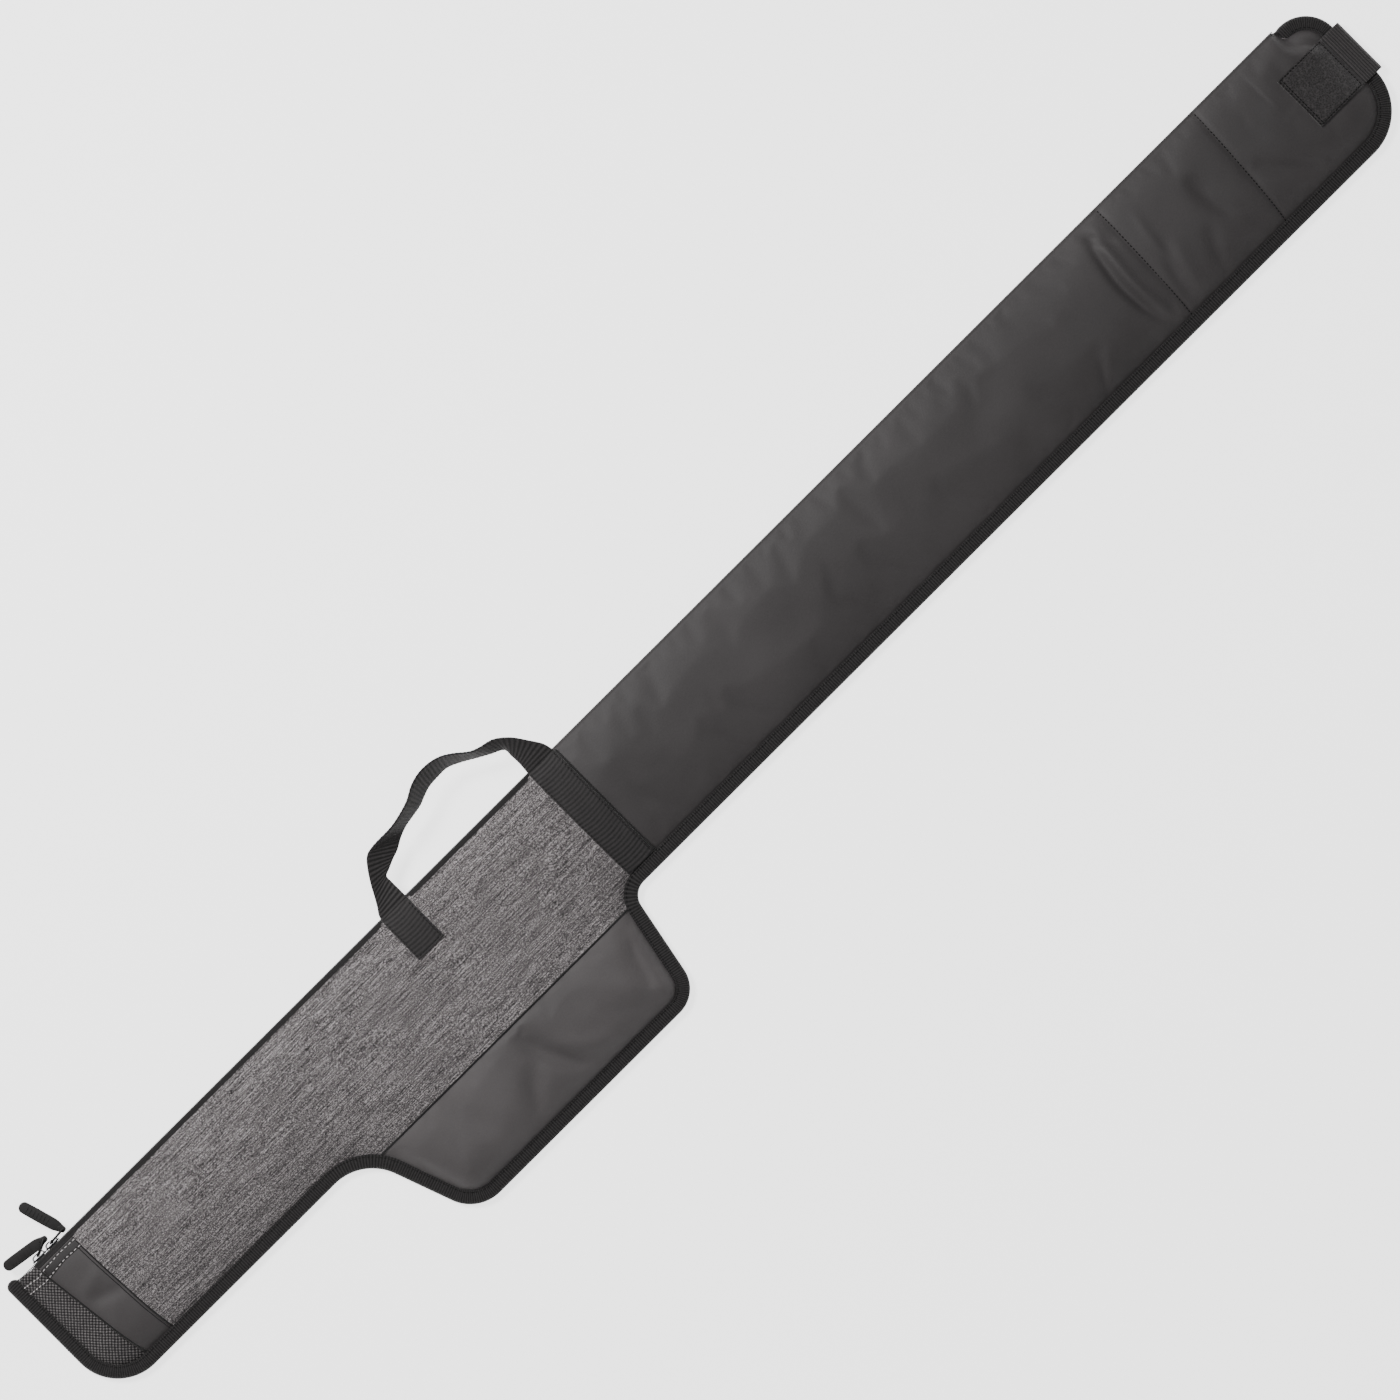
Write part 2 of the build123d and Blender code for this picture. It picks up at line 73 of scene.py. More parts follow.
# seams across the case: (length at the zip edge, length at the tube's far edge)
MESH_SEAM = (31.0, 44.0)
BAND_SEAM = (68.0, 73.0)
CROSS_SEAMS = ((1213.5, 1210.0), (1322.0, 1315.0))
TUBE_SEAM = 595.0
POUCH_SEAM = 131.0  # depth of the seam between grip and pouch
NOTCH = 566.0  # where that seam turns off slantwise at its tip end
CROSS = (581.0, 609.0)  # both edges of the cross webbing
PATCH = (417.0, 445.0, 43.0)  # both edges and the depth of the handle's left end
STRAP = (1385.0, 1434.0, 30.0, 80.0)  # the strap's sewn square: lengths, then depths
ZIP_ENDS = (16.0, 1409.5)
BUTT_STOP = 13.5
TAPE_END = 1412.1
BUTT_SLIDER, TIP_SLIDER = 37.4, 51.9  # middles of the two sliders
COIL_PITCH = 1.4
WEBBING_WIDTH = 27.0
RIB_PITCH = 3.4

# the cloth simulation: its settings, its length, and how far it may move a point
CLOTH_SETTINGS = dict(
    quality=6, mass=0.25, tension_stiffness=18, compression_stiffness=12, shear_stiffness=6,
    bending_stiffness=6, use_pressure=True, uniform_pressure_force=3.0, shrink_min=-0.002,
    vertex_group_mass="held", pin_stiffness=1.0,
)
SETTLING_FRAMES = 20
MOST_MOVE = 1.4

# the edge's corners, (along, depth) and the radius of each, from the butt's zip end to the tip's
OUTLINE = [
    ((0, -5.5), 0),
    ((0, 121.7), 42),
    ((272.7, 121.7), 42),
    ((307.7, 218.5), 34),
    ((555.0, 218.5), 27),
    ((573.4, 124.5), 15),
    ((1450, 124.5), 47),
    ((1450, 0), 30),
    ((1414, 0), 0),
]


def place(along, depth, height):
    """A point of the case, in millimetres, as a point of the frame, in metres."""
    return Vector((BUTT + along * MM, ZIP_EDGE - depth * MM, height * MM))


def place_all(points):
    """An array of (along, depth, height) rows as frame positions."""
    p = np.asarray(points, float).reshape(-1, 3) * MM
    return np.column_stack([BUTT + p[:, 0], ZIP_EDGE - p[:, 1], p[:, 2]])


def filleted(corners, step=1.0):
    """A polyline of (along, depth) points with its corners rounded, about step apart."""
    points = []
    last = np.array(corners[0][0], float)
    for i in range(1, len(corners)):
        here = np.array(corners[i][0], float)
        radius = corners[i][1]
        if i < len(corners) - 1 and radius > 0:
            back = np.array(corners[i - 1][0], float) - here
            on = np.array(corners[i + 1][0], float) - here
            back /= np.linalg.norm(back)
            on /= np.linalg.norm(on)
            half = math.acos(np.clip(back @ on, -1, 1)) / 2
            reach = radius / math.tan(half)
            start = here + back * reach
            end = here + on * reach
            middle = here + (back + on) / np.linalg.norm(back + on) * radius / math.sin(half)
            points += straight(last, start, step)
            a0 = start - middle
            turn = math.pi - 2 * half
            side = np.sign(a0[0] * (end - middle)[1] - a0[1] * (end - middle)[0])
            count = max(3, int(radius * turn / step))
            for k in range(count):
                t = turn * k / count * side
                c, s = math.cos(t), math.sin(t)
                points.append(middle + np.array([c * a0[0] - s * a0[1], s * a0[0] + c * a0[1]]))
            last = end
        else:
            points += straight(last, here, step)
            last = here
    points.append(last)
    return np.array(points)


def directions(points, closed=False):
    """Unit vectors along a line of points."""
    ahead = np.roll(points, -1, 0) - np.roll(points, 1, 0) if closed else np.gradient(points, axis=0)
    return ahead / np.linalg.norm(ahead, axis=1)[:, None]


def run_along(points):
    """How far along a line each of its points lies."""
    return np.concatenate([[0], np.cumsum(np.linalg.norm(np.diff(points, axis=0), axis=1))])


def straight(start, end, step):
    """Points from start up to, but without, end."""
    count = max(1, int(np.linalg.norm(end - start) / step))
    return [start + (end - start) * k / count for k in range(count)]


def curve(points, per_span=5, closed=False):
    """A Catmull-Rom line through points, or with closed a loop through them."""
    p = np.array(points, float)
    p = np.vstack([p[-1:], p, p[:2]] if closed else [2 * p[0] - p[1], p, 2 * p[-1] - p[-2]])
    line = []
    for a, b, c, d in zip(p, p[1:], p[2:], p[3:]):
        for k in range(per_span):
            t = k / per_span
            line.append(0.5 * (2 * b + (c - a) * t + (2 * a - 5 * b + 4 * c - d) * t * t
                               + (3 * b - a - 3 * c + d) * t ** 3))
    return np.array(line if closed else line + [p[-2]])


EDGE = filleted(OUTLINE)
EDGE_TREE = kdtree.KDTree(len(EDGE))
for index, point in enumerate(EDGE):
    EDGE_TREE.insert((point[0], point[1], 0), index)
EDGE_TREE.balance()


def edge_distance(along, depth):
    """How far a point is from the bound edge, which lets go of the front where the zip begins."""
    near = EDGE_TREE.find((along, max(depth, 0.0), 0))[2]
    if along > 1370 and depth < 60:
        near += (max(near, LENGTH - along) - near) * (1 - smooth(1400, 1419, along))
    if along < 60 and depth < 60:
        near = min(near, along)
        by_zip = math.exp(-((max(depth, 0) / 5) ** 2)) * (1 - smooth(30, 60, along))
        near += 8 * smooth(BINDING_REACH, 17, near) * by_zip
    return near


def smooth(low, high, value):
    t = min(1.0, max(0.0, (value - low) / (high - low)))
    return t * t * (3 - 2 * t)


def inset_edge(inset):
    """The bound edge moved inwards, as (along, depth) points."""
    ahead = directions(EDGE)
    return EDGE + np.column_stack([ahead[:, 1], -ahead[:, 0]]) * inset


def bound_limits(inset):
    """Two functions of the length: the least and the greatest depth inside the edge moved inwards."""
    moved = inset_edge(inset)
    turn = int(np.argmax(moved[:, 0] > LENGTH - inset - 0.05))
    low = moved[(np.arange(len(moved)) < turn) & (moved[:, 0] > inset + 0.01)]
    high = moved[turn:]
    high = high[np.argsort(high[:, 0])]
    upper = high[high[:, 1] < 60]

    def least(along):
        if along < 1424:
            return np.interp(along, (1418, 1424), (0.9, inset))
        return np.interp(along, upper[:, 0], upper[:, 1])

    return least, lambda along: np.interp(along, low[:, 0], low[:, 1])


# ---------------------------------------------------------------- the padded surface

# folds of the cloth: (along, depth) of the middle, direction in degrees, half length, half width, height
FOLDS = [
    (1184, 60, 90, 44, 4.5, -3.6),
    (1196, 16, 60, 18, 5, -2.2),
    (1196, 106, 118, 15, 5, -2.2),
    (1192, 62, 90, 46, 4.5, 2.6),
    (1228, 50, 95, 26, 4, 1.3),
    (1222, 84, 104, 30, 6, -2.2),
    (1232, 88, 100, 26, 6, 1.2),
    (1124, 102, 118, 16, 4, -1.8),
    (1132, 100, 118, 18, 7, 1.2),
    (1258, 92, 112, 22, 6, -1.8),
    (1284, 58, 84, 24, 10, -3.4),
    (1300, 96, 68, 20, 7, -1.6),
    (1345, 86, 40, 32, 8, -2.8),
    (1362, 72, 50, 30, 8, 1.0),
    (1345, 36, 96, 26, 9, -0.9),
    (1423, 24, 48, 14, 3.2, -2.4),
    (1416, 30, 48, 14, 4, 1.2),
    (1398, 40, 70, 18, 7, -1.0),
    (716, 98, 60, 22, 6, -1.8),
    (746, 94, 58, 22, 6, -1.6),
    (862, 98, 60, 22, 6, -1.8),
    (905, 96, 56, 24, 7, -1.8),
    (640, 88, 62, 26, 8, -1.4),
    (655, 40, 68, 30, 12, 0.9),
    (800, 60, 34, 60, 18, -1.2),
    (980, 90, 48, 30, 12, -1.5),
    (1042, 44, 150, 40, 14, -1.0),
    (1085, 84, 62, 26, 9, -1.2),
    (241, 45, 118, 19, 1.4, -0.7),
    (54, 40, 160, 12, 6, 1.0),
    (57, 56, 20, 14, 6, -1.6),
    (62, 86, 150, 14, 8, 0.6),
    (24, 62, 30, 14, 6, -0.8),
    (300, 92, 30, 60, 22, -0.6),
    (180, 60, 160, 50, 20, -0.5),
    (440, 172, 62, 32, 9, -4.2),
    (405, 184, 130, 26, 9, -3.4),
    (462, 182, 40, 30, 8, 1.8),
    (536, 168, 112, 30, 8, -4.2),
    (508, 160, 60, 26, 11, 1.6),
    (360, 170, 70, 28, 11, -2.0),
    (520, 196, 30, 30, 8, -1.8),
]


def noise_at(along, depth, size, seed):
    """Smooth noise from -1 to 1 with bumps of about the given size."""
    return noise.noise(Vector((along / size, depth / size, seed * 7.31)))


def past_seam(seam, along, depth):
    """How far past a seam across the case a point is."""
    return along - (seam[0] + (seam[1] - seam[0]) * depth / TUBE_WIDTH)


def seam_dip(along, depth):
    """How much the cross seams and the cross webbing pull the padding down."""
    dip = 0.0
    for seam in CROSS_SEAMS:
        off = past_seam(seam, along, depth)
        dip += 1.1 * math.exp(-((off / 1.9) ** 2)) + 0.8 * math.exp(-((off / 8.0) ** 2))
    middle = (CROSS[0] + CROSS[1]) / 2
    dip += 1.5 * math.exp(-(((along - middle) / 24) ** 2))
    for seam in (MESH_SEAM, BAND_SEAM):
        off = past_seam(seam, along, depth)
        dip += 0.7 * math.exp(-((off / 3.5) ** 2))
    if 270 < along < 590:
        dip += 0.9 * math.exp(-(((depth - POUCH_SEAM) / 4.0) ** 2))
    return dip


def lip_height(along):
    """Height of the front's zip edge, a little higher over the sliders' end and lower at the tip's."""
    return 14.4 + 0.8 * (1 - smooth(26, 36, along)) - 3.2 * smooth(1402, 1424, along)


def front_height(along, depth, folds=True):
    """Height of the padded front at a point."""
    edge = edge_distance(along, depth)
    softness = 17.0 - 7.0 * smooth(128, 150, depth)
    rise = RIM + (TOP - RIM) * (1 - math.exp(-max(edge - BINDING_REACH, 0) / softness))
    rise -= 0.04 * max(BINDING_REACH - edge, 0)
    lip = lip_height(along)
    zip_rise = lip + (TOP - lip) * (1 - math.exp(-max(depth, 0) / 12.0))
    height = TOP - ((TOP - rise) ** 3 + (TOP - zip_rise) ** 3) ** (1 / 3)
    height = max(height, min(rise, RIM))
    slack = min(1.0, max(edge - 11, 0) / 14) * min(1.0, max(depth, 0) / 14)
    height -= seam_dip(along, depth) * min(1.0, max(edge - 10, 0) / 10)
    if folds:
        soft = 0.55 * noise_at(along, depth, 46, 1) + 0.3 * noise_at(along, depth, 21, 2)
        for fold_along, fold_depth, angle, reach, width, lift in FOLDS:
            da, dd = along - fold_along, depth - fold_depth
            if abs(da) + abs(dd) > 2.2 * reach + 30:
                continue
            c, s = math.cos(math.radians(angle)), math.sin(math.radians(angle))
            run, off = da * c + dd * s, -da * s + dd * c
            off += 0.0035 * run * run + 2.0 * noise_at(along, depth, 24, 5)
            soft += lift * math.exp(-((run / reach) ** 4)) * math.exp(-((off / width) ** 2))
        height += soft * slack
    return height


def back_height(along, depth):
    """Height of the outside of the padded back at a point."""
    edge = edge_distance(along, depth)
    lift = 3.3 * math.exp(-max(edge - 9, 0) / 5.0) + 1.5 * math.exp(-max(depth, 0) / 3.0)
    if along > 1370:
        side = smooth(28.5, 25.5, abs(depth - 55)) * smooth(1388, 1396, along)
        lift = max(lift, 2.6 * side)
    return lift


# ---------------------------------------------------------------- meshes


def new_mesh(name, verts, faces, material, uvs=None):
    """A smooth object from frame positions. uvs are per vertex, in metres."""
    mesh = bpy.data.meshes.new(name)
    mesh.from_pydata([tuple(v) for v in verts], [], [tuple(int(i) for i in f) for f in faces])
    if uvs is not None:
        layer = mesh.uv_layers.new(name="UVMap")
        loop_verts = np.empty(len(mesh.loops), np.int32)
        mesh.loops.foreach_get("vertex_index", loop_verts)
        layer.data.foreach_set("uv", np.asarray(uvs, np.float32)[loop_verts].ravel())
    mesh.polygons.foreach_set("use_smooth", [True] * len(mesh.polygons))
    mesh.materials.append(material)
    mesh.update()
    obj = bpy.data.objects.new(name, mesh)
    bpy.context.scene.collection.objects.link(obj)
    return obj


def grid_faces(rows, columns, wrap=False, start=0):
    """Quads of a grid of rows by columns of vertices, row by row. wrap closes each row."""
    r = np.arange(rows - 1)[:, None]
    c = np.arange(columns if wrap else columns - 1)[None, :]
    after = (c + 1) % columns
    quads = [r * columns + c, r * columns + after, (r + 1) * columns + after, (r + 1) * columns + c]
    return np.stack(quads, -1).reshape(-1, 4) + start


def swept_faces(rows, count, start=0, turned=False):
    """Faces of a rod of closed rows of vertices, with both its ends. turned faces them the other way."""
    first = range(start, start + count)
    last = range(start + (rows - 1) * count, start + rows * count)
    faces = [tuple(f) for f in grid_faces(rows, count, wrap=True, start=start)]
    faces += [tuple(first[::-1]), tuple(last)]
    return [f[::-1] for f in faces] if turned else faces


def ring_around(first, second, sides):
    """A unit circle at each point of a line, between two rows of vectors across the line."""
    turn = np.linspace(0, 2 * math.pi, sides, endpoint=False)
    return first[:, None] * np.cos(turn)[None, :, None] + second[:, None] * np.sin(turn)[None, :, None]


def shell(name, top, bottom, material, uvs=None):
    """A closed sheet between two grids of the same shape, (rows, columns, 3) in millimetres."""
    rows, columns = top.shape[:2]
    count = rows * columns
    faces = list(grid_faces(rows, columns)) + [f[::-1] for f in grid_faces(rows, columns, start=count)]
    rim = [(0, c) for c in range(columns)] + [(r, columns - 1) for r in range(1, rows)]
    rim += [(rows - 1, c) for c in range(columns - 2, -1, -1)] + [(r, 0) for r in range(rows - 2, 0, -1)]
    ids = [r * columns + c for r, c in rim]
    faces += [(b, a, a + count, b + count) for a, b in zip(ids, ids[1:] + ids[:1])]
    verts = place_all(np.vstack([top.reshape(-1, 3), bottom.reshape(-1, 3)]))
    if uvs is not None:
        uvs = np.vstack([uvs.reshape(-1, 2), uvs.reshape(-1, 2)])
    return new_mesh(name, verts, faces, material, uvs)


def tube(name, points, radius, flat=1.0):
    """A round cord of piping along a lying line of points. flat squeezes it in height."""
    p, sides = np.asarray(points, float), 8
    ahead = directions(p * (1, -1, 1))
    across = np.cross(ahead, (0.0, 0.0, 1.0))
    across /= np.linalg.norm(across, axis=1)[:, None]
    ring = ring_around(across, np.cross(across, ahead) * flat, sides) * radius * MM
    verts = (place_all(p)[:, None] + ring).reshape(-1, 3)
    around = np.linspace(0, 2 * math.pi, sides, endpoint=False) * radius
    uvs = np.stack(np.broadcast_arrays(run_along(p)[:, None], around[None, :]), -1).reshape(-1, 2) * MM
    return new_mesh(name, verts, swept_faces(len(p), sides, turned=True), PIPING, uvs)


def stitches(name, path, material, pitch=3.2, length=2.3, radius=0.32, lift=0.25):
    """A row of thread stitches along (along, depth, height) points, each a short bowed thread."""
    p = np.asarray(path, float)
    run = run_along(p)
    rings, sides = 5, 6
    t = np.linspace(0, 1, rings)
    bow = np.sin(t * math.pi)
    verts, faces = [], []
    for k, s in enumerate(np.arange(0.3, run[-1] - length, pitch)):
        along = np.column_stack([np.interp(s + t * length, run, p[:, i]) for i in range(3)])
        ahead = along[-1] - along[0]
        ahead /= np.linalg.norm(ahead)
        across = np.cross(ahead, (0, 0, 1))
        across /= np.linalg.norm(across)
        normal = np.cross(across, ahead)
        centre = along + normal * (lift * bow[:, None] - 0.1)
        size = radius * (0.35 + 0.65 * np.sqrt(bow))
        ring = ring_around(across[None], normal[None], sides)
        verts.append((centre[:, None] + ring * size[:, None, None]).reshape(-1, 3))
        faces += swept_faces(rings, sides, start=k * rings * sides)
    return new_mesh(name, place_all(np.vstack(verts)), faces, material)


def rounded_prism(name, outline, low, high, bevel, material, to_frame):
    """A prism of a plan outline with rounded rims. to_frame turns (x, y, z) rows into the frame."""
    o = np.asarray(outline, float)
    ahead = directions(o, closed=True)
    inward = np.column_stack([-ahead[:, 1], ahead[:, 0]])
    steps = []
    for k in range(5):
        t = math.pi / 2 * k / 4
        steps.append((bevel * (1 - math.sin(t)), low + bevel * (1 - math.cos(t))))
    rows = steps + [(inset, high + low - z) for inset, z in reversed(steps)]
    verts = np.vstack([np.column_stack([o + inward * inset, np.full(len(o), z)]) for inset, z in rows])
    return new_mesh(name, to_frame(verts), swept_faces(len(rows), len(o)), material)


def slot_outline(length, width):
    """A slot shape along x from 0 to length, counter-clockwise."""
    r = width / 2
    turn = np.linspace(-math.pi / 2, math.pi / 2, 10)
    right = np.column_stack([length - r + r * np.cos(turn), r * np.sin(turn)])
    left = np.column_stack([r - r * np.cos(turn), -r * np.sin(turn)])
    return np.vstack([right, left])


def finer(obj):
    """Subdivide and smooth a mesh once, for good."""
    modifier = obj.modifiers.new("finer", "SUBSURF")
    modifier.levels = modifier.render_levels = 1
    evaluated = obj.evaluated_get(bpy.context.evaluated_depsgraph_get())
    mesh = bpy.data.meshes.new_from_object(evaluated)
    obj.modifiers.clear()
    old = obj.data
    obj.data = mesh
    bpy.data.meshes.remove(old)


# ---------------------------------------------------------------- materials


WARM = (1.04, 0.96, 0.97)


class Nodes:
    """A material's node tree with short ways to add to it."""

    def __init__(self, name, colour, roughness, specular=0.4, sheen=0.0, metallic=0.0):
        self.material = bpy.data.materials.new(name)
        self.material.use_nodes = True
        self.tree = self.material.node_tree
        self.shader = next(n for n in self.tree.nodes if n.type == "BSDF_PRINCIPLED")
        settings = {"Base Color": (*colour, 1), "Roughness": roughness, "Specular IOR Level": specular,
                    "Sheen Weight": sheen, "Metallic": metallic}
        for key, value in settings.items():
            self.shader.inputs[key].default_value = value

    def add(self, kind, **settings):
        node = self.tree.nodes.new(kind)
        for key, value in settings.items():
            if key in node.inputs:
                node.inputs[key].default_value = value
            else:
                setattr(node, key, value)
        return node

    def link(self, source, target):
        self.tree.links.new(source, target)

    def coordinates(self, scale=(1, 1, 1), turn=0.0, kind="Object"):
        mapping = self.add("ShaderNodeMapping", Scale=scale, Rotation=(0, 0, turn))
        self.link(self.add("ShaderNodeTexCoord").outputs[kind], mapping.inputs["Vector"])
        return mapping.outputs["Vector"]

    def noise(self, vector, scale, detail=3.0, rough=0.55):
        node = self.add("ShaderNodeTexNoise", Scale=scale, Detail=detail, Roughness=rough)
        self.link(vector, node.inputs["Vector"])
        return node.outputs["Fac"]

    def wave(self, vector, scale, distortion=0.0, direction="X", detail=0.0):
        node = self.add("ShaderNodeTexWave", bands_direction=direction, Scale=scale, Distortion=distortion,
                        Detail=detail)
        self.link(vector, node.inputs["Vector"])
        return node.outputs["Fac"]

    def math(self, operation, a, b):
        node = self.add("ShaderNodeMath", operation=operation)
        for i, value in enumerate((a, b)):
            if isinstance(value, (int, float)):
                node.inputs[i].default_value = value
            else:
                self.link(value, node.inputs[i])
        return node.outputs[0]

    def weighted(self, *parts):
        """The sum of outputs, each times its weight."""
        terms = [self.math("MULTIPLY", output, weight) for output, weight in parts]
        total = terms[0]
        for term in terms[1:]:
            total = self.math("ADD", total, term)
        return total

    def ramp(self, factor, stops):
        node = self.add("ShaderNodeValToRGB")
        ramp = node.color_ramp
        while len(ramp.elements) < len(stops):
            ramp.elements.new(0.5)
        for element, (position, value) in zip(ramp.elements, stops):
            element.position = position
            colour = value if isinstance(value, tuple) else tuple(value * tint for tint in WARM)
            element.color = (*colour, 1)
        self.link(factor, node.inputs["Fac"])
        return node.outputs["Color"]

    def colour(self, output):
        self.link(output, self.shader.inputs["Base Color"])

    def roughness(self, factor, low, high):
        node = self.add("ShaderNodeMapRange")
        node.inputs["To Min"].default_value = low
        node.inputs["To Max"].default_value = high
        self.link(factor, node.inputs["Value"])
        self.link(node.outputs["Result"], self.shader.inputs["Roughness"])

    def bump(self, height, distance, strength=1.0):
        node = self.add("ShaderNodeBump", Distance=distance, Strength=strength)
        self.link(height, node.inputs["Height"])
        if self.shader.inputs["Normal"].is_linked:
            self.link(self.shader.inputs["Normal"].links[0].from_socket, node.inputs["Normal"])
        self.link(node.outputs["Normal"], self.shader.inputs["Normal"])


def melange_material():
    """Heather cloth: pale and dark yarns, short dashes of both along the case."""
    m = Nodes("melange", (0.16, 0.15, 0.152), 0.9, specular=0.15, sheen=0.1)
    streak = m.noise(m.coordinates((1, 38, 1)), 36, detail=2, rough=0.6)
    grain = m.noise(m.coordinates((1, 1.4, 1)), 900, detail=1)
    mixed = m.weighted((streak, 0.37), (grain, 0.52))
    m.colour(m.ramp(mixed, [(0.28, 0.012), (0.406, 0.092), (0.474, 0.195), (0.61, 0.62)]))
    m.bump(mixed, 0.0006, 0.4)
    weave = m.math("MULTIPLY", m.wave(m.coordinates(), 420), m.wave(m.coordinates(), 420, direction="Y"))
    m.bump(weave, 0.0003, 0.4)
    return m.material


def coated_material(name, shade, rough=0.5):
    m = Nodes(name, (shade, shade * 0.93, shade * 0.94), rough, specular=0.28)
    cloud = m.noise(m.coordinates(), 9, detail=5)
    grain = m.noise(m.coordinates(), 900, detail=3, rough=0.6)
    tone = m.weighted((cloud, 0.75), (grain, 0.25))
    m.colour(m.ramp(tone, [(0.3, shade * 0.8), (0.7, shade * 1.2)]))
    m.roughness(cloud, rough - 0.07, rough + 0.1)
    m.bump(grain, 0.0002, 0.35)
    pores = m.add("ShaderNodeTexVoronoi", Scale=700)
    m.link(m.coordinates(), pores.inputs["Vector"])
    m.bump(pores.outputs["Distance"], 0.00015, 0.3)
    return m.material


def mesh_material():
    m = Nodes("ballistic_mesh", (0.06, 0.057, 0.058), 0.75, specular=0.25, sheen=0.05)
    rib = m.wave(m.coordinates(turn=math.radians(45)), 125, distortion=1.2, detail=2)
    cross = m.wave(m.coordinates(turn=math.radians(-45)), 138, distortion=1.2, detail=2)
    cloud = m.noise(m.coordinates(), 500, detail=3)
    mixed = m.weighted((rib, 0.4), (cross, 0.4), (cloud, 0.5))
    m.colour(m.ramp(mixed, [(0.36, 0.01), (0.65, 0.042), (1.0, 0.2)]))
    m.bump(mixed, 0.0006, 0.8)
    return m.material


def woven_material(name, shade, ribs, cross, contrast, kind="UV"):
    """A tape or webbing: ribs across its length, a fine weave and some fuzz."""
    m = Nodes(name, (shade, shade, shade), 0.8, specular=0.3, sheen=0.2)
    vector = m.coordinates(kind=kind)
    rib = m.wave(vector, ribs, distortion=0.5)
    row = m.wave(vector, cross, direction="Y", distortion=0.5)
    fuzz = m.noise(m.coordinates(), 750, detail=4, rough=0.8)
    mixed = m.weighted((rib, 0.34), (row, 0.2), (fuzz, 0.6))
    low, high = shade * (1 - contrast), shade * (1 + contrast)
    m.colour(m.ramp(mixed, [(0.36, low), (0.76, high)]))
    m.bump(mixed, 0.0004, 0.7)
    return m.material


def pile_material(name, shade, scale=900):
    """Hook-and-loop: a fine tangle."""
    m = Nodes(name, (shade, shade, shade), 0.9, specular=0.2, sheen=0.3)
    tangle = m.noise(m.coordinates(), scale, detail=4, rough=0.7)
    dots = m.add("ShaderNodeTexVoronoi", Scale=scale * 0.75)
    m.link(m.coordinates(), dots.inputs["Vector"])
    mixed = m.weighted((tangle, 0.7), (dots.outputs["Distance"], 0.4))
    m.colour(m.ramp(mixed, [(0.35, shade * 0.45), (0.75, shade * 1.9)]))
    m.bump(mixed, 0.0006, 0.9)
    return m.material


def plain_material(name, colour, rough, metallic=0.0, specular=0.5, grain=600, wear=0.12):
    """Metal, moulded rubber or plastic with fine grain and slight wear."""
    m = Nodes(name, colour, rough, specular=specular, metallic=metallic)
    wearing = m.noise(m.coordinates(), 160, detail=4)
    low = tuple(c * (1 - wear) for c in colour)
    high = tuple(min(1, c * (1 + wear)) for c in colour)
    m.colour(m.ramp(wearing, [(0.35, low), (0.65, high)]))
    m.roughness(wearing, max(0.05, rough - 0.08), rough + 0.1)
    m.bump(m.noise(m.coordinates(), grain, detail=2), 0.0001, 0.5)
    return m.material


MELANGE = melange_material()
COATED = coated_material("coated_tube", 0.056, 0.6)
COATED_POUCH = coated_material("coated_pouch", 0.096, 0.64)
COATED_BAND = coated_material("coated_band", 0.071, 0.6)
COATED_BACK = coated_material("coated_back", 0.055, 0.6)
COATED_FACING = coated_material("coated_facing", 0.03, 0.6)
MESH = mesh_material()
BINDING = woven_material("binding_tape", 0.019, ribs=150, cross=800, contrast=0.95)
WEBBING = woven_material("webbing", 0.03, ribs=92, cross=420, contrast=0.7)
PIPING = woven_material("piping", 0.012, ribs=500, cross=300, contrast=0.4)
ZIP_TAPE = woven_material("zip_tape", 0.018, ribs=500, cross=300, contrast=0.4, kind="Object")
HOOK = pile_material("hook_and_loop", 0.033)
LOOP = pile_material("loop_pile", 0.03, 600)
STRAP_WEAVE = woven_material("strap_weave", 0.04, ribs=140, cross=260, contrast=0.6, kind="Object")
LINING = woven_material("lining", 0.06, ribs=500, cross=500, contrast=0.3, kind="Object")
FOAM = pile_material("foam", 0.35, 500)
THREAD_DARK = plain_material("dark_thread", (0.008, 0.008, 0.008), 0.8, specular=0.15)
THREAD_LIGHT = plain_material("light_thread", (0.62, 0.59, 0.59), 0.75, specular=0.3)
COIL = plain_material("coil_plastic", (0.018, 0.018, 0.018), 0.35)
METAL = plain_material("satin_metal", (0.62, 0.62, 0.63), 0.2, metallic=1.0, wear=0.1)
# the slider's plates and flanges: the bridge's metal darkened, painted shade standing in for the slider's
# dark shading
METAL_PAINTED_SHADE = plain_material("metal_painted_shade", (0.09, 0.09, 0.094), 0.3, metallic=1.0, wear=0.2)
WIRE = plain_material("black_wire", (0.012, 0.012, 0.012), 0.45, specular=0.3)
RUBBER = plain_material("rubber", (0.021, 0.02, 0.02), 0.6, specular=0.3, grain=1100)


# ---------------------------------------------------------------- front panels


def spread(count, ends=0.55):
    """Values from 0 to 1, closer together near both ends."""
    t = np.linspace(0, 1, count)
    return t - ends * np.sin(2 * math.pi * t) / (2 * math.pi)


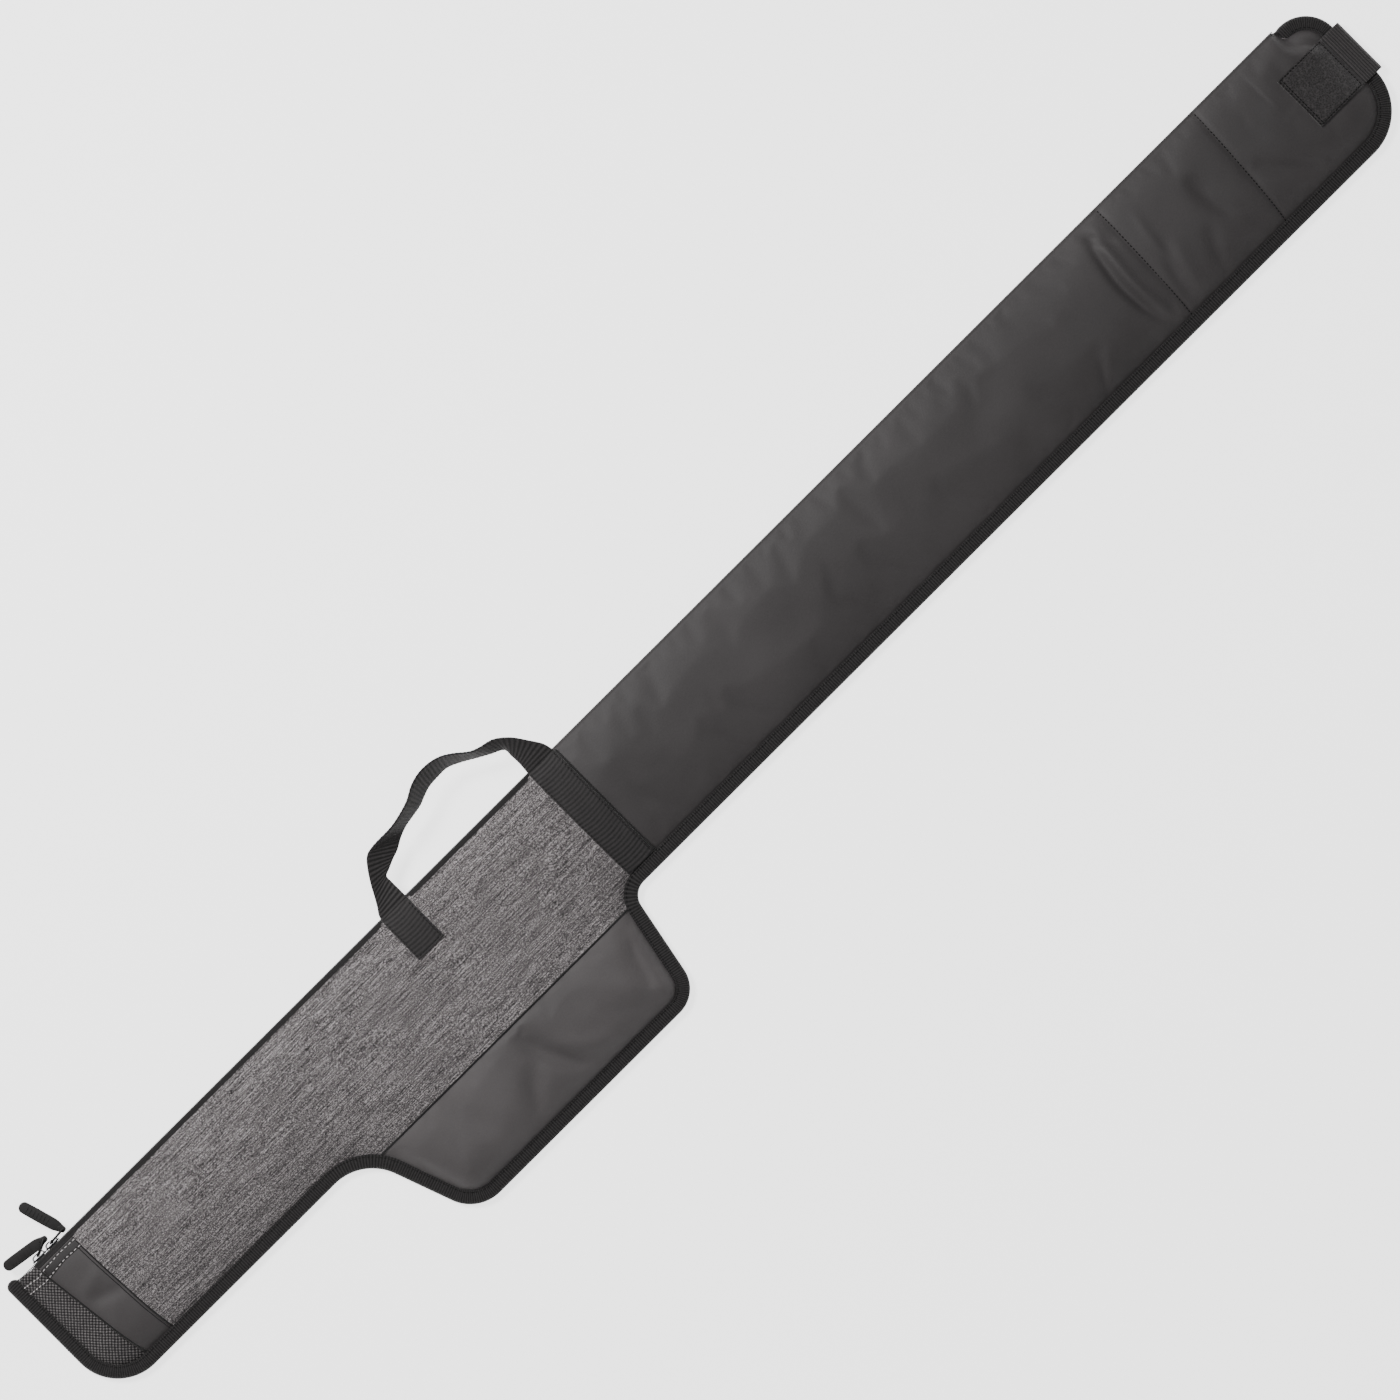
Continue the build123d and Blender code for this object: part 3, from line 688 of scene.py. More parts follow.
def panel_grid(left, right, upper, lower, columns, rows, height, rolled=(), crowd=1.0):
    """A grid over a panel. left and right are seams, upper and lower give depths by length.

    rolled gives rows before the first, as (depth, height) from it, that carry the cloth out over the zip.
    crowd above 1 brings the columns closer together towards the right seam."""
    grid = np.empty((columns, rows + len(rolled), 3))
    share = 1 - (1 - np.linspace(0, 1, columns)) ** crowd
    drop = spread(rows)
    for i, s in enumerate(share):
        nominal = left[0] + (right[0] - left[0]) * s
        slant = (left[1] - left[0]) * (1 - s) + (right[1] - right[0]) * s
        reach = nominal + slant * 0.5
        top_depth, low_depth = float(upper(reach)), float(lower(reach))
        for j, t in enumerate(drop):
            depth = top_depth + (low_depth - top_depth) * t
            along = nominal + slant * depth / TUBE_WIDTH
            grid[i, j + len(rolled)] = (along, depth, height(along, depth))
        first = grid[i, len(rolled)]
        size = 1 - 0.9 * smooth(1407, 1415, first[0])
        for j, (off_depth, off_height) in enumerate(rolled):
            grid[i, j] = (first[0], first[1] + off_depth * size, first[2] + off_height * size)
    return grid


def simulate(grid, pinned):
    """Let a panel settle as cloth under a light pressure, with its seams held, and give its new grid."""
    rows, columns = grid.shape[:2]
    sheet = new_mesh("settling", place_all(grid), grid_faces(rows, columns), MELANGE)
    group = sheet.vertex_groups.new(name="held")
    for index, weight in enumerate(pinned.ravel()):
        if weight > 0:
            group.add([index], float(weight), "REPLACE")
    cloth = sheet.modifiers.new("cloth", "CLOTH")
    for key, value in CLOTH_SETTINGS.items():
        setattr(cloth.settings, key, value)
    cloth.settings.effector_weights.gravity = 0
    cloth.collision_settings.use_self_collision = False
    scene = bpy.context.scene
    for step in range(1, SETTLING_FRAMES + 1):
        scene.frame_set(step)
    evaluated = sheet.evaluated_get(bpy.context.evaluated_depsgraph_get())
    settled = np.array([v.co for v in evaluated.data.vertices]).reshape(-1, 3)
    move = (settled - place_all(grid)) / MM
    far = np.linalg.norm(move, axis=1)
    move *= np.where(far > MOST_MOVE, MOST_MOVE / np.maximum(far, 1e-6), 1.0)[:, None]
    bpy.data.objects.remove(sheet)
    scene.frame_set(1)
    return grid + (move * (1, -1, 1)).reshape(grid.shape)


def held_at_rim(grid, rolled):
    """Weights that hold a panel's rim, and its sewn lines, in the cloth simulation."""
    pinned = np.zeros(grid.shape[:2])
    pinned[0, :] = pinned[-1, :] = 1
    pinned[:, : rolled + 2] = pinned[:, -1:] = 1
    for i in range(grid.shape[0]):
        for j in range(grid.shape[1]):
            along, depth = grid[i, j, :2]
            if (any(abs(past_seam(seam, along, depth)) < 2.2 for seam in CROSS_SEAMS)
                    or edge_distance(along, depth) < 12.5
                    or (PATCH[0] - 2 < along < PATCH[1] + 2 and depth < PATCH[2] + 2)
                    or (STRAP[0] - 2 < along and STRAP[2] - 2 < depth < STRAP[3] + 2)):
                pinned[i, j] = 1
    return pinned


def panel(name, grid, material, nodes, slot):
    """A panel of coated or woven cloth: the settled outside, and an inside a cloth's thickness below it."""
    piece = shell(name, grid, grid - (0, 0, CLOTH), material)
    finer(piece)
    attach(piece, "root")
    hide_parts(*nodes)


top_line, low_line = bound_limits(PANEL_INSET)


def notch(along):
    """Depth of the seam between grip and pouch, cut off slantwise at its tip end."""
    return np.where(along > NOTCH, POUCH_SEAM - (along - NOTCH) * 14 / 15, POUCH_SEAM)


def mesh_top(along):
    return np.interp(along, (PANEL_INSET, 32), (-3.0, 0.2))


def grip_bottom(along):
    return np.minimum(low_line(along), notch(along))


# the tube's cloth makes a narrow flap over the zip; the other panels end under the dark rim there
FLAP = ((-2.2, -0.3), (-1.9, -0.2), (-1.4, -0.12), (-0.9, -0.06), (-0.4, -0.02))
# each panel: its seams, its upper and lower limits, columns, rows, material and slot
BUTT_END, TUBE_START, TIP_END = (PANEL_INSET, PANEL_INSET), (TUBE_SEAM, TUBE_SEAM), (1441.2, 1441.2)
PANELS = {
    "butt_mesh_panel": (BUTT_END, MESH_SEAM, mesh_top, low_line, 22, 60, MESH, "mesh_fabric"),
    "butt_band_panel": (MESH_SEAM, BAND_SEAM, top_line, low_line, 20, 60, COATED_BAND, "coated_fabric"),
    "front_grip_panel": (BAND_SEAM, TUBE_START, top_line, grip_bottom, 200, 56, MELANGE, "melange_fabric"),
    "reel_pouch_panel": ((279.5, 279.5), (590.0, 590.0), notch, low_line, 130, 44, COATED_POUCH,
                         "coated_fabric"),
    "rod_tube_panel": (TUBE_START, TIP_END, top_line, low_line, 330, 56, COATED, "coated_fabric"),
}
NODES = {"rod_tube_panel": ("rod_tube_panel", "tube_middle_panel", "tube_tip_panel")}
SETTLED = ("front_grip_panel", "reel_pouch_panel", "rod_tube_panel")
grids = {}
for name, spec in PANELS.items():
    *shape, material, slot = spec
    rolled, crowd = (FLAP, 1.25) if name == "rod_tube_panel" else ((), 1.0)
    grid = panel_grid(*shape, front_height, rolled, crowd)
    if name in SETTLED:
        grid = simulate(grid, held_at_rim(grid, len(rolled)))
    grids[name] = grid
    panel(name, grid, material, NODES.get(name, (name,)), slot)

surface_verts, surface_faces = [], []
for grid in grids.values():
    start = sum(len(v) for v in surface_verts)
    surface_verts.append(grid.reshape(-1, 3))
    surface_faces += [tuple(int(i) for i in f) for f in grid_faces(*grid.shape[:2], start=start)]
SURFACE = BVHTree.FromPolygons([Vector(v) for v in np.vstack(surface_verts)], surface_faces)


def on_front(along, depth, lift=0.0):
    """The point of the settled front under a place, raised by lift."""
    hit = SURFACE.ray_cast(Vector((along, depth, 60)), Vector((0, 0, -1)))[0]
    height = hit.z if hit is not None else front_height(along, depth)
    return (along, depth, height + lift)


def front_path(start, end, lift):
    """Points on the front from one (along, depth) to another, about 1.5 mm apart, raised by lift."""
    start, end = np.array(start, float), np.array(end, float)
    count = max(2, int(np.linalg.norm(end - start) / 1.5))
    return [on_front(*(start + (end - start) * k / count), lift) for k in range(count + 1)]


def dress(piece, nodes, slot, body="root"):
    """Say what a piece rides on and which nodes it stands for; slot is not used."""
    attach(piece, body)
    if nodes:
        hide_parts(*nodes)
    return piece


def two_sided(shares, drops, cell):
    """Top and bottom grids of a sheet. cell(s, t) gives a length, a depth and the two heights there."""
    cells = np.array([[cell(s, t) for t in drops] for s in shares])
    return cells[..., :3], cells[..., [0, 1, 3]]


def laid_band(name, corners, material, thick=1.4, columns=14, rows=30, sunk=None):
    """Webbing sewn flat on the front: (along, along, depth, depth), with slightly thicker selvages.

    It has ribs across its length, or is sunk by sunk(along, depth) along its sewn lines."""
    a0, a1, d0, d1 = corners
    share = spread(columns, 0.8)
    bow = 1.6 * (2 * share - 1) ** 2

    def cell(s, t):
        along, depth = a0 + (a1 - a0) * s, d0 + (d1 - d0) * t
        selvage = min(s, 1 - s) * (a1 - a0)
        surface = on_front(along, max(depth, 0.8))[2]
        ridge = 0.12 * math.exp(-((selvage - 1.4) / 0.8) ** 2)
        ridge += rib_height(depth + 1.6 * (2 * s - 1) ** 2) if sunk is None else -sunk(along, depth)
        height = surface + 0.25 + (thick - 0.25) * (1 - math.exp(-selvage / 0.35)) + ridge
        return along, depth, height, surface + 0.05

    top, low = two_sided(share, np.linspace(0, 1, rows), cell)
    uvs = np.stack([top[..., 1] + bow[:, None], top[..., 0]], -1) * MM
    return shell(name, top, low, material, uvs)


def rib_height(run):
    """The webbing's ribs, crossing it at RIB_PITCH."""
    return 0.17 * np.sin(run * 2 * math.pi / RIB_PITCH)


# ---------------------------------------------------------------- padding, linings and back


def layer(name, material, slot, heights, inset, zip_inset, count=(150, 22), padded=False):
    """A layer of the case between two height functions, inset from the bound edge and from the zip."""
    upper, lower = bound_limits(inset)
    top, low = [panel_grid((inset, inset), (LENGTH - inset, LENGTH - inset),
                           lambda a: np.maximum(upper(a), zip_inset), lower, *count, height)
                for height in heights]
    piece = dress(shell(name, top, low, material), [name], slot)


def under_front(offset, least):
    return lambda a, d: max(front_height(a, d) - offset, least)


def over_back(offset):
    return lambda a, d: back_height(a, d) * (1 - offset / 8) + offset


layer("front_padding", FOAM, "foam", (under_front(4.0, 6.9), under_front(6.0, 4.9)), 17.0, 7.0, padded=True)
layer("front_lining", LINING, "lining", (under_front(6.2, 5.4), under_front(6.7, 4.9)), 19.0, 7.0)
layer("back_panel", COATED_BACK, "coated_fabric", (over_back(CLOTH), over_back(0.0)), PANEL_INSET, 0.9,
      (290, 46), padded=True)
layer("back_padding", FOAM, "foam", (over_back(3.6), over_back(1.1)), 15.0, 9.0, padded=True)
layer("back_lining", LINING, "lining", (over_back(4.3), over_back(3.8)), 15.0, 9.0)

for number, middle in enumerate((595.0, 1213.0, 1319.0)):
    grid = np.empty((8, 20, 3))
    grid[:, :, 0] = np.linspace(middle - 12.5, middle + 12.5, 8)[:, None]
    grid[:, :, 1] = np.linspace(17, 104, 20)[None, :]
    grid[:, :, 2] = 5.9
    strap = shell(f"inner_rod_strap_{number + 1}", grid, grid - (0, 0, 1.0), WEBBING)
    dress(strap, ["inner_rod_straps"], "webbing")

# ---------------------------------------------------------------- bound edge


def binding():
    """The folded tape that grips the edge, swept along it, with small puckers."""
    section = [
        (11.6, 6.2), (11.7, 7.0), (11.2, 7.5), (9.5, 7.65), (6.5, 7.7), (3.5, 7.6), (1.7, 7.2), (0.6, 6.4),
        (0.1, 5.3), (0.1, 4.3), (0.6, 3.2), (1.7, 2.5), (3.5, 2.2), (6.5, 2.1), (9.5, 2.2), (11.2, 2.35),
        (11.7, 2.8), (11.6, 3.6),
    ]
    middle = 4.8  # height that the tape's ends close to
    spine = filleted(OUTLINE, 1.5)
    ahead = directions(spine)
    inward = np.column_stack([ahead[:, 1], -ahead[:, 0]])
    bend = np.abs(np.gradient(np.unwrap(np.arctan2(ahead[:, 1], ahead[:, 0]))))
    verts, uvs = [], []
    run = run_along(spine)
    for i, (a, d) in enumerate(spine):
        pucker = 0.16 + min(0.6, bend[i] * 6)
        wobble = pucker * noise.noise(Vector((run[i] / 5.0, 3.3, 0)))
        sway = 0.35 * noise.noise(Vector((run[i] / 38.0, 8.8, 0)))
        end = min(run[i], run[-1] - run[i])
        squeeze = 1 - 0.45 * math.exp(-end / 1.6)
        narrow = max(0.3, math.sqrt(1 - (1 - min(1.0, end / 5.0)) ** 2))
        at_tip = d < 60 and a > LENGTH / 2
        kept = 2.6 if at_tip else 5.9
        lifted_from = 1.0 if at_tip and end < 14 else 5
        for k, (e, z) in enumerate(section):
            e_here = kept + (e + (sway if e > 5 else 0) - kept) * narrow
            z_here = middle + (z - middle) * squeeze + (wobble if z > 6.5 and e > 2 else 0)
            at = spine[i] + inward[i] * e_here
            if e > lifted_from and z > 6 and (end > 4 or d < 60):
                z_here = max(z_here, front_height(at[0], at[1], False) + (0.75 if e < 11.3 else 0.3))
            verts.append((at[0], at[1], z_here))
            uvs.append((run[i] * MM, 1.3 * (k + 1) * MM))
    faces = swept_faces(len(spine), len(section), turned=True)
    piece = new_mesh("edge_binding", place_all(verts), faces, BINDING, uvs)
    finer(piece)
    dress(piece, ["edge_binding"], "binding_tape")


binding()

inner = inset_edge(9.6)[9:-6]
path = [(a, d, max(7.75, front_height(a, d, False) + 0.85)) for a, d in inner]
stitched = stitches("binding_stitches", path, THREAD_DARK, pitch=3.4, length=2.5, radius=0.25)
dress(stitched, [], "binding_tape")

# ---------------------------------------------------------------- seams and webbing on the front

cross_band = laid_band("cross_webbing", (CROSS[0], CROSS[1], 0.0, 112.6), WEBBING, rows=280)
dress(cross_band, ["cross_webbing"], "webbing")
for number, along in enumerate((CROSS[0] + 1.6, CROSS[1] - 1.6)):
    path = front_path((along, 2), (along, 111), 1.5)
    dress(stitches(f"cross_webbing_stitches_{number + 1}", path, THREAD_DARK, radius=0.28), [], "webbing")

for name, start, end, lift, radius, nodes in (
    ("cross_piping", (CROSS[1] + 1.2, 1), (CROSS[1] + 1.2, 112.5), 0.7, 1.0, ["cross_piping"]),
    ("pouch_welt", (285, POUCH_SEAM), (NOTCH, POUCH_SEAM), 0.15, 0.8, ["pouch_welt"]),
    ("pouch_welt_end", (NOTCH, POUCH_SEAM), (CROSS[0], 117), 0.15, 0.7, []),
):
    dress(tube(name, front_path(start, end, lift), radius), nodes, "piping")

patch = laid_band("handle_left_patch", (PATCH[0], PATCH[1], 0.0, PATCH[2]), WEBBING, rows=110)
dress(patch, ["handle_left_patch"], "webbing")
left, right, low_end = PATCH[0] + 1.8, PATCH[1] - 1.8, PATCH[2] - 2
corners = [(left, 4), (left, low_end), (right, low_end), (right, 4)]
path = sum([front_path(corners[k], corners[k + 1], 1.5) for k in range(3)], [])
dress(stitches("handle_patch_stitches", path, THREAD_DARK, radius=0.28), [], "webbing")

for number, (top_end, low_end) in enumerate(CROSS_SEAMS):
    line = front_path((top_end, 1.5), (low_end, 113), 0.1)
    dress(stitches(f"tube_seam_stitches_{number + 1}", line, THREAD_DARK, radius=0.42, lift=0.4), [],
          "coated_fabric")

for name, seam, shift, radius in (
    ("mesh_seam_edge", MESH_SEAM, 0.6, 0.9),
    ("band_seam_edge_1", BAND_SEAM, -2.2, 0.45),
    ("band_seam_edge_2", BAND_SEAM, 0.4, 0.7),
):
    line = front_path((seam[0] + shift, 8), (seam[1] + shift, 112), 0.12)
    dress(tube(name, line, radius, flat=0.8), [], "piping")


def facing(name, left, right, upper, thick, material, slot):
    """A strip sewn over a panel beside the zip, sunk along its two rows of light stitching."""

    def cell(s, t):
        reach = left[0] + (right[0] - left[0]) * s
        start, stop = upper(reach), light_row(1, reach) + 0.9
        depth = start + (stop - start) * t
        slant = (left[1] - left[0]) * (1 - s) + (right[1] - right[0]) * s
        along = reach + slant * depth / TUBE_WIDTH
        edge = 1 - math.exp(-min((stop - depth) / 0.35, s * 60, (1 - s) * 60))
        sunk = max(math.exp(-(((depth - light_row(k, along)) / 0.7) ** 2)) for k in (0, 1))
        surface = on_front(along, max(depth, 0.9))[2]
        return along, depth, surface + 0.1 + (thick - 0.1) * edge - 0.3 * sunk, surface - 0.2

    top, low = two_sided(spread(40, 0.6), spread(60, 0.5), cell)
    dress(shell(name, top, low, material), [], slot)


# the two rows of light stitching near the butt: lengths, and the depth at each
LIGHT_ROWS = (
    ((11, 28, 31.5, 52, 72), (6.4, 8.6, 7.5, 6.2, 6.9)),
    ((11, 28, 33, 52, 72), (13.2, 14.9, 14.6, 12.7, 13.6)),
)


def light_row(number, along):
    """Depth of one of the two rows of light stitching near the butt."""
    return float(np.interp(along, *LIGHT_ROWS[number]))


facing("butt_zip_facing", (MESH_SEAM[0] + 1, MESH_SEAM[1] + 1), (BAND_SEAM[0] + 0.8, BAND_SEAM[1] + 0.8),
       lambda a: light_row(0, a) - 1.9, 0.75, COATED_FACING, "coated_fabric")
facing("mesh_zip_facing", (9.5, 9.5), (MESH_SEAM[0] - 0.4, MESH_SEAM[1] - 0.4),
       lambda a: light_row(0, a) - 1.4, 0.7, MESH, "mesh_fabric")
for number in (0, 1):
    path = [on_front(a, light_row(number, a), 0.55) for a in np.arange(10.5, 71.5, 0.8)]
    name = f"light_stitches_{number + 1}"
    row = stitches(name, path, THREAD_LIGHT, pitch=4.2, length=2.6, radius=0.46, lift=0.4)
    dress(row, [], "binding_tape")

# ---------------------------------------------------------------- handle

# the webbing's two edges as it lies, (along, depth, height)
HANDLE_OUTER = [
    (417.5, 0.8, 16.5), (418.2, -2.5, 16.5), (419.5, -5.5, 16.8), (423, -10.5, 17.6), (427.5, -18, 19.5),
    (432, -26, 21.5), (439, -36.5, 24), (446, -44, 26.5), (455, -46.4, 28.5), (474, -46.6, 31),
    (486, -48.6, 32), (499, -52.6, 32.6), (510, -58.5, 33), (521, -61.6, 33.2), (532, -61.6, 33.2),
    (542, -59, 33), (551, -53.6, 32.4), (561, -45.5, 31.6), (569, -42.2, 30.5), (581, -39.2, 28.5),
    (592, -30.8, 25), (600.5, -19, 21), (606.5, -9.5, 18), (608.4, -3, 16.6), (608.8, 0.8, 16.5),
]
HANDLE_INNER = [
    (444.8, 0.8, 16.5), (445, -3.5, 16.5), (445, -8, 16.4), (445, -16, 16.2), (445.5, -22.5, 15.8),
    (452, -25.5, 15.6), (459, -28.5, 15.4), (466, -31, 15.3), (475, -36, 15.3), (484, -39.6, 15.3),
    (493, -41.3, 15.3), (503, -43, 15.3), (511, -46, 15.3), (519, -48.6, 15.3), (529, -49.4, 15.3),
    (539.5, -49.2, 15.3), (550, -44.8, 15.3), (563, -37.5, 15.4), (572, -32.5, 15.5), (581.5, -27.3, 15.8),
    (582, -20, 16.1), (582.3, -13, 16.3), (582, -7, 16.4), (581.6, -3, 16.5), (581.4, 0.8, 16.5),
]


def ribbon(name, outer, inner, thick, material):
    """Ribbed webbing between two edge lines, with rounded selvages."""
    share = spread(12, 0.8)
    middle = outer[:, None] * (1 - share)[None, :, None] + inner[:, None] * share[None, :, None]
    centre = (outer + inner) / 2
    normal = np.cross(inner - outer, np.gradient(centre, axis=0))
    normal /= np.linalg.norm(normal, axis=1)[:, None]
    if normal[0][2] < 0:
        normal = -normal
    run = run_along(centre)
    edge = 1 - np.exp(-np.minimum(share, 1 - share) * WEBBING_WIDTH / 0.35)
    half = (thick / 2 * (0.25 + 0.75 * edge))[None, :] + (rib_height(run)[:, None] * edge[None, :]) * 0.8
    offset = normal[:, None] * half[:, :, None]
    uvs = np.stack(np.broadcast_arrays(run[:, None], share[None, :] * WEBBING_WIDTH), -1) * MM
    return shell(name, middle + offset, middle - offset, material, uvs)


def sewn_down(line):
    """Bring both ends of a handle line to the middle of the webbing that they are sewn to."""
    for end, along in ((line[0], sum(PATCH[:2]) / 2), (line[-1], sum(CROSS) / 2)):
        drop = end[2] - (on_front(along, 0.8)[2] + 0.75)
        near = np.abs(line[:, 0] - end[0]) < 30
        line[near, 2] -= drop * np.exp(-np.maximum(-line[near, 1], 0) / 5)
    return line


edges = [sewn_down(curve(line, 32)) for line in (HANDLE_OUTER, HANDLE_INNER)]
handle = ribbon("handle_loop", *edges, 1.5, WEBBING)
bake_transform(handle)
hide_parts("handle_loop")

# ---------------------------------------------------------------- zip


def zip_edging():
    """The front zip tape: up the wall, and along the grip rolled over the edge as a dark rim."""
    section = [
        (0.2, 9.6), (0.1, 12.4), (-0.7, 13.3), (-1.25, 14.2), (-1.0, 15.2), (0.1, 15.9), (1.5, 16.6),
        (2.8, 17.2), (3.3, 17.3), (3.3, 16.6), (1.9, 15.9), (0.9, 15.0), (0.8, 13.0), (0.8, 9.6),
    ]
    wall = [
        (0.2, 9.6), (0.15, 10.4), (0.1, 11.0), (0.1, 11.5), (0.1, 12.0), (0.15, 12.4), (0.25, 12.7),
        (0.4, 12.8), (0.6, 12.8), (0.75, 12.6), (0.8, 12.2), (0.8, 11.4), (0.8, 10.6), (0.8, 9.6),
    ]
    stations = np.append(np.arange(BUTT_STOP, TAPE_END, 3.0), TAPE_END - 0.1)
    verts, uvs = [], []
    for a in stations:
        tall = (lip_height(a) - 10.4) / 4.0
        roll = smooth(28, 31, a) * (1 - smooth(608, 611, a))
        wide = 1.25 - 0.25 * smooth(70, 74, a)
        under = max(smooth(414, 417, a) * (1 - smooth(445, 448, a)), smooth(578, 581, a))
        wobble = 0.25 * noise_at(a, 0, 60, 9) + 0.1 * noise_at(a, 0, 9, 4)
        for k, ((d, z), (wall_d, wall_z)) in enumerate(zip(section, wall)):
            high = smooth(12.5, 15.5, z)
            d_here = d * (wide if d > 1 else 1) + wobble * (1 if d > 1 else 0.3) * high
            lift = on_front(a, max(d_here, 0.9))[2] + (0.45 if k < 9 else -0.6) - z if d > 1 else 0.0
            z_here = z + lift * high - 1.3 * under * high
            wall_here = 9.6 + (wall_z - 9.6) * tall
            verts.append((a, wall_d + (d_here - wall_d) * roll, wall_here + (z_here - wall_here) * roll))
            uvs.append((a * MM, k * 1.6 * MM))
    faces = swept_faces(len(stations), len(section))
    piece = new_mesh("zip_tape_front", place_all(verts), faces, ZIP_TAPE, uvs)
    finer(piece)
    dress(piece, ["zip_tape_front"], "zip_tape")


zip_edging()


def back_tape():
    """The back zip tape, from the chain down the wall and under the edge of the back."""
    section = [(0.05, 8.4), (0.0, 5.0), (-0.1, 3.0), (0.3, 1.6), (1.6, 0.9), (2.6, 1.2), (1.4, 2.0),
               (0.8, 3.2), (0.75, 8.4)]
    stations = np.arange(BUTT_STOP, TAPE_END, 3.0)
    verts = [(a, d, z + 0.12 * noise_at(a, 4, 14, 3) * (z < 6)) for a in stations for d, z in section]
    faces = swept_faces(len(stations), len(section), turned=True)
    dress(new_mesh("zip_tape_back", place_all(verts), faces, ZIP_TAPE), ["zip_tape_back"], "zip_tape")


back_tape()


def coil(name, side):
    """One row of coil: its turns, each a bent thread from the tape to the chain's middle."""
    starts = np.arange(ZIP_ENDS[0] + 0.8, ZIP_ENDS[1] - 0.8, COIL_PITCH)
    if side < 0:
        starts += COIL_PITCH / 2
    line = np.array([
        (0, -0.35, 2.35), (0.05, -1.1, 2.25), (0.1, -1.4, 1.15), (0.15, -1.15, 0.6), (0.1, -0.6, 0.55),
        (0.0, -0.35, 1.05),
    ]) * (1, 1, side) + (0, 0, CHAIN_Z)
    sides, radius = 5, 0.34
    ahead = directions(line)
    across = np.cross(ahead, (1, 0, 0))
    across /= np.linalg.norm(across, axis=1)[:, None]
    one = (line[:, None] + ring_around(across, np.cross(ahead, across), sides) * radius).reshape(-1, 3)
    verts = np.vstack([one + (a, 0, 0) for a in starts])
    faces = [f for k in range(len(starts)) for f in swept_faces(len(line), sides, start=k * len(one))]
    dress(new_mesh(name, place_all(verts), faces, COIL), [name], "zip_coil")


coil("zip_coil_front", 1)
coil("zip_coil_back", -1)


def in_slider(centre):
    """From a slider's own (x along, y = height, z outwards) millimetres to the frame."""
    return lambda rows: place_all(np.column_stack([centre + rows[:, 0], -rows[:, 2], CHAIN_Z + rows[:, 1]]))


def arch(name, centre, half, low, top, width, material):
    """The slider's bridge: a flat bar bent over along the zip."""
    turn = np.linspace(0, math.pi, 17)
    run, rise = half * np.sign(np.cos(turn)) * np.abs(np.cos(turn)) ** 0.6, (top - low) * np.sin(turn) ** 0.6
    spine = np.column_stack([run, low + rise])
    ahead = directions(spine)
    out = np.column_stack([ahead[:, 1], -ahead[:, 0]])
    section = [
        (-1, -0.35), (-1, 0.35), (-0.7, 0.6), (0.7, 0.6), (1, 0.35), (1, -0.35), (0.7, -0.6), (-0.7, -0.6),
    ]
    verts = []
    for at, away in zip(spine, out):
        for y, n in section:
            x, z = at + away * n
            verts.append((x, y * width / 2, z))
    faces = swept_faces(len(spine), len(section))
    return new_mesh(name, in_slider(centre)(np.array(verts)), faces, material)


def slider(prefix, centre):
    """A zip slider: two shaped plates, side flanges, a neck and the bridge that the pull hangs on."""
    half, wide, narrow = 6.5, 4.2, 2.9
    outline = [(-half, -narrow), (-2, -wide), (3.5, -wide), (half, -narrow * 0.8),
               (half, narrow * 0.8), (3.5, wide), (-2, wide), (-half, narrow)]
    plate = curve(outline, closed=True)
    neck = [(-3.4, -0.25), (3.4, -0.25), (3.4, 0.25), (-3.4, 0.25)]
    rail = slot_outline(7.6, 0.95) - (3.6, 0.0)
    # each part's outline, lowest and highest point from the chain, rim and material; the plates and flanges
    # take the metal darkened as painted shade, the neck the plain metal
    prisms = {
        "front_plate": (plate, 1.8, 3.2, 0.45, METAL_PAINTED_SHADE),
        "back_plate": (plate, -2.5, -1.1, 0.45, METAL_PAINTED_SHADE),
        "neck": (neck, -1.3, 2.0, 0.05, METAL),
        "flange_1": (rail - (0, 3.4), 0.2, 2.2, 0.2, METAL_PAINTED_SHADE),
        "flange_2": (rail + (0, 3.4), 0.2, 2.2, 0.2, METAL_PAINTED_SHADE),
    }
    for name, spec in prisms.items():
        part = rounded_prism(f"{prefix}_{name}", *spec, in_slider(centre))
        dress(part, [prefix + "_body"] if name == "front_plate" else [], "slider_metal", prefix)
    dress(arch(prefix + "_bridge", centre, 5.4, 2.9, 5.9, 2.8, METAL), [], "slider_metal", prefix)


def plan_direction(angle):
    return Vector((math.cos(math.radians(angle)), math.sin(math.radians(angle)), 0))


